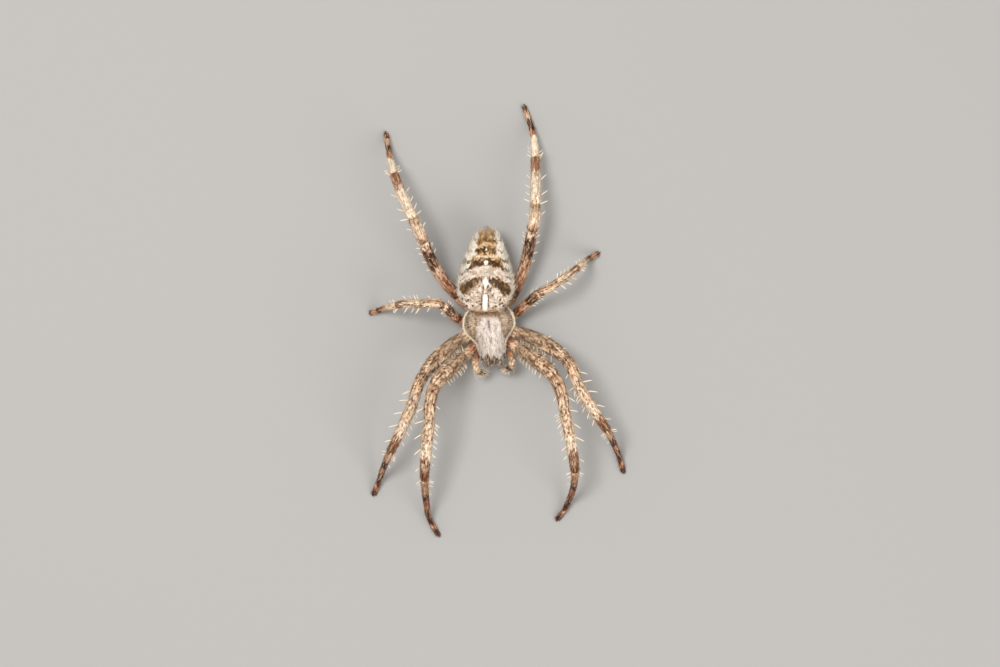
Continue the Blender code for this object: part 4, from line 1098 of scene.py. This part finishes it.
def leg_marks(course, reach, pair, sockets):
    """Streaks, dots and rings of colour: streaks are patches stretched along the leg, rings are windows of
    each segment's share with ragged edges, and a dark dot lies round each spine's socket."""
    radius, number, share = course[:, 3:].T[..., None]
    front, seed = pair in "12", int(pair) * 10
    angle = np.linspace(0, 2 * math.pi, LEG_AROUND, endpoint=False)[None]
    chart = np.stack([np.cos(angle) * radius, reach[:, None] + 0 * angle, np.sin(angle) * radius], axis=-1)
    streaks = mottle(chart, (0.1, 0.7, 0.1), seed + 1)
    fine = mottle(chart, (0.07, 0.35, 0.07), seed + 2)
    strands = mottle(chart, (0.085, 1.0, 0.085), seed + 3)
    ragged = mottle(chart, (0.16, 0.3, 0.16), seed + 4) - 0.5
    q = number + share + 0.3 * ragged
    masks = {}
    for colour, rings in (FRONT_LEG_RINGS if front else REAR_LEG_RINGS).items():
        masks[colour] = 0 * q
        for start, end, strength in rings:
            ring = strength * window(q, start - 0.03, start + 0.04, end - 0.04, end + 0.03)
            masks[colour] = np.maximum(masks[colour], ring * (number == (start + end) // 2))
    masks["white"] = masks["white"] * (0.45 if pair == "3" else 1)
    coxa, femur, patella, tibia = (number == k for k in range(4))
    dashes = flecks(angle / (2 * math.pi) * 14, reach[:, None] / 0.55, 0.4, seed + 5, wrap=14)
    dots = flecks(angle / (2 * math.pi) * 7, reach[:, None] / 0.36, 0.3, seed + 6, wrap=7)
    dotty = 0.9 * femur + (0.95 * patella + 0.85 * tibia) * (0.6 if pair == "4" else 1) + 0.6 * coxa
    hazy = femur * ease(q, 1.58, 1.42) * front
    bare = 1 - 0.5 * masks["white"]
    brown = dotty * np.maximum(dots, 0.85 * dashes * ease(fine, 0.24, 0.44)) * bare
    thread = (femur + patella + tibia) * ease(strands, 0.4, 0.2) * (0.6 + 0.25 * hazy) * bare
    blotch = ease(mottle(chart, (0.2, 0.45, 0.2), seed + 7), 0.5, 0.62)
    blotch = blotch * (0.75 * femur + 0.4 * patella) * front
    blacker = (number == 5) * 0.2
    dark = masks["dark"] * (0.35 + blacker + (0.65 - blacker) * ease(fine, 0.3, 0.5))
    dark = np.maximum(dark, blotch * (0.4 + 0.6 * ease(fine, 0.3, 0.5)))
    dark = np.maximum(dark, np.maximum(brown, 0.6 * thread))
    for row, column in sockets:
        turn = (np.arange(LEG_AROUND)[None] - column + LEG_AROUND / 2) % LEG_AROUND - LEG_AROUND / 2
        gap = np.hypot((reach - reach[row])[:, None], turn * 2 * math.pi / LEG_AROUND * radius)
        dark = np.maximum(dark, 0.8 * ease(gap, 0.13, 0.07))
    # pale streaks, a quarter weaker on the underside: painted light, the upper side lighter as if lit from
    # above
    pale = ease(streaks, 0.18, 0.46) * (0.75 + 0.25 * ease(np.sin(angle), -0.2, 0.5)) * (1 - 0.12 * hazy)
    orange = masks["orange"] * (0.55 + 0.45 * ease(fine, 0.3, 0.5)) * (1 - 0.6 * ease(strands, 0.56, 0.72))
    orange = np.maximum(orange, 0.7 * np.maximum(brown, thread) * (1 - hazy))
    white = masks["white"] * (0.55 + 0.45 * ease(streaks, 0.25, 0.5))
    white = np.maximum(white, 0.6 * ease(strands, 0.54, 0.7) * (number < 4) * (1 - masks["dark"]))
    marks = {"pale": pale, "orange": orange, "dark": dark, "white": white * (1 - np.maximum(brown, thread))}
    return {key: np.clip(value, 0, 1) for key, value in marks.items()}


# cuticle with a soft shine under silky hair; spines of clear horn, palest at the tip; shiny dark claws
leg_paints = {"pale": "#E8C39D", "white": "#FEECD3", "orange": "#924A1F", "dark": "#2C0F04"}
leg_cuticle = skin_material(
    "leg cuticle", "#8A6240", leg_paints, grain=0.1, contrast=0.3, roughness=0.4, relief=0.04
)
leg_hair_paints = {"pale": "#F5D6B2", "white": "#FFF2DC", "orange": "#AE6430", "dark": "#3D1A09"}
leg_hair = hair_material(
    "fine leg hair", "#B1885F", leg_hair_paints, "#FFF0DA", tip_share=0.2, contrast=0.32, roughness=0.45
)
spine_horn = hair_material(
    "pale horn spines", "#EAD8BC", {"dark": "#D8BE98"}, "#FFFAF0", tip_share=0.6, contrast=0.1, roughness=0.35
)
claw_horn, _, _ = new_material("dark horn claws", 0.3, colour="#23130B")

for leg_number, leg in enumerate(POSES):
    rng = np.random.default_rng(100 + leg_number)
    pair, short = leg[3], leg[3] == "3"
    course, sign = leg_course(leg)
    radius, reach = leg_radius(course)
    shape = tube_rings(course[:, :3], radius, LEG_AROUND, -sign)
    shape[..., 2] = np.maximum(shape[..., 2], LEG_OVER_FLOOR)
    sockets, spine_lengths, spine_widths = [], [], []
    for places, angle, length, width in FRONT_LEG_SPINES if pair in "12" else REAR_LEG_SPINES:
        for number, share in (divmod(place, 1) for place in places):
            share = np.clip(share + rng.normal(0, 0.012), 0.0, 0.97)
            here = (course[:, 4] == number) & (course[:, 5] >= share)
            turn = (angle + rng.normal(0, 5)) / 360 * LEG_AROUND
            sockets.append((int(np.argmax(here)), int(round(turn)) % LEG_AROUND))
            spine_lengths.append(length * rng.uniform(1.0, 1.2) * (0.85 if short else 1))
            spine_widths.append(width)
    marks = leg_marks(course, reach, pair, sockets)
    skin, leg_skin = make_skin(f"{leg}_skin", shape, marks, leg_cuticle)
    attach(skin, "root")
    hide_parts(*(f"{leg}_{part}" for part in ("coxa", "femur", "patella", "tibia", "foot")))

    past_root = ease(course[:, 4] + course[:, 5], 0.1, 0.45)[:, None] + 0 * marks["pale"]
    coat_hairs, bristle_hairs = SHORT_LEG_HAIRS if short else LONG_LEG_HAIRS
    roots = draw_roots(leg_skin, coat_hairs, past_root * (0.8 + 0.5 * marks["white"]), rng)
    lie = comb(roots, roots["along"], 11, rng)
    coat = grow(f"{leg}_coat", roots, lie, leg_hair, rng, **COAT_STRANDS)
    roots = draw_roots(leg_skin, bristle_hairs, past_root, rng)
    lie = comb(roots, roots["along"], 15, rng)
    bristles = grow(f"{leg}_bristles", roots, lie, leg_hair, rng, **BRISTLE_STRANDS)
    row, column = np.array(sockets).T
    roots = {"place": shape[row, column], "out": leg_skin["out"][row, column]}
    roots["flat"] = np.stack([column / LEG_AROUND, (row + 1) / (len(shape) + 1)], axis=-1)
    roots["marks"] = {key: value[row, column] for key, value in marks.items()}
    lie = comb(roots, leg_skin["along"][row, column], 8, rng)
    sizes = {"length": np.array(spine_lengths), "width": np.array(spine_widths)}
    spines = grow(f"{leg}_spines", roots, lie, spine_horn, rng, **sizes, **SPINE_FORM)
    for piece in (coat, bristles, spines):
        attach(piece, "root")

    # two claws at the tip of the foot, curved down along a parabola
    onwards = unit((course[-1, :3] - course[-8, :3]) * (1, 1, 0.2))
    aside = np.cross(onwards, (0.0, 0.0, 1.0))
    q = np.linspace(0, 1, 9)[:, None]
    rise = (0.03 + 0.04 * np.sin(math.pi * q) - 0.08 * q**2) * (0, 0, 1)
    for claw_name, claw_side in (("inner", -1), ("outer", 1)):
        centres = course[-1, :3] + aside * claw_side * CLAW_APART + onwards * CLAW_LENGTH * q + rise
        shape = round_off(tube_rings(centres, CLAW_RADIUS * (1 - q[:, 0]) ** 0.6 + 0.006, 10), 0.0, 0.01, 2)
        shape[..., 2] = np.maximum(shape[..., 2], LEG_OVER_FLOOR)
        claw, _ = make_skin(f"{leg}_claw_{claw_name}", shape, {}, claw_horn)
        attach(claw, "root")

# ---- Feelers. Two slender pedipalps curl forwards and down beside the jaws: orange-brown femur, cream
# patella and tibia, a dark ring, and a tan tarsus with long pale bristles. Each is a tube along one line.
# aside, ahead, height, radius
PALP_LINE = (
    (1.1, 3.9, 1.78, 0.2), (1.34, 4.06, 2.15, 0.22), (1.52, 4.28, 2.62, 0.26), (1.6, 4.62, 2.92, 0.275),
    (1.6, 4.92, 2.88, 0.295), (1.5, 5.24, 2.5, 0.295), (1.32, 5.42, 2.1, 0.275), (1.12, 5.5, 1.72, 0.25),
    (0.95, 5.5, 1.42, 0.22), (0.84, 5.46, 1.22, 0.13),
)
PALP_JOINTS = (0.14, 0.34, 0.46, 0.66)  # shares of the line where the segments meet
PALP_ROWS = 110
PALP_HAIRS, PALP_BRISTLES = 1500, 90
for side, sign in SIDES.items():
    rng = np.random.default_rng(200 + sign)
    values = line_points(PALP_LINE, PALP_ROWS, sign)
    share = np.linspace(0, 1, PALP_ROWS)
    radii = values[:, 3] * np.prod([1 - 0.14 * bell(share - joint, 0.018) for joint in PALP_JOINTS], axis=0)
    shape = round_off(tube_rings(front_to_whole(values[:, :3]), radii, around=40), 0.02, 0.08)
    share = np.clip(np.linspace(-0.05, 1.05, len(shape)), 0, 1)[:, None] + 0 * shape[..., 0]
    streaks = mottle(shape, (0.12, 0.2, 0.3), 61)
    dots = ease(mottle(shape, (0.15, 0.15, 0.3), 62), 0.55, 0.68)
    marks = {
        "pale": 0.3 + 0.7 * ease(streaks, 0.35, 0.6),
        "white": 0.45 * window(share, 0.4, 0.46, 0.58, 0.64) * ease(streaks, 0.3, 0.5),
        "orange": 0.7 * ease(share, 0.42, 0.28) + 0.5 * ease(share, 0.68, 0.76),
        "dark": 0.95 * window(share, 0.6, 0.64, 0.7, 0.75) + 0.5 * ease(share, 0.9, 1.0) + 0.5 * dots,
    }
    palp, palp_skin = make_skin(f"pedipalp_{side}_skin", shape, marks, leg_cuticle)
    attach(palp, "root")
    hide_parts(f"pedipalp_{side}")
    roots = draw_roots(palp_skin, PALP_HAIRS, 0.4 + share, rng)
    lie = comb(roots, roots["along"], 15, rng)
    strands = {"lean": (15, 35), "curl": 12, "length": 0.22, "width": 0.024}
    coat = grow(f"pedipalp_{side}_coat", roots, lie, leg_hair, rng, **strands)
    roots = draw_roots(palp_skin, PALP_BRISTLES, ease(share, 0.5, 0.8), rng)
    lie = comb(roots, roots["along"], 22, rng)
    strands = {"lean": (30, 55), "curl": 25, "length": rng.uniform(0.5, 0.95, len(lie)), "width": 0.034}
    bristles = grow(f"pedipalp_{side}_bristles", roots, lie, spine_horn, rng, **strands, sides=4, steps=2)
    for piece in (coat, bristles):
        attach(piece, "root")
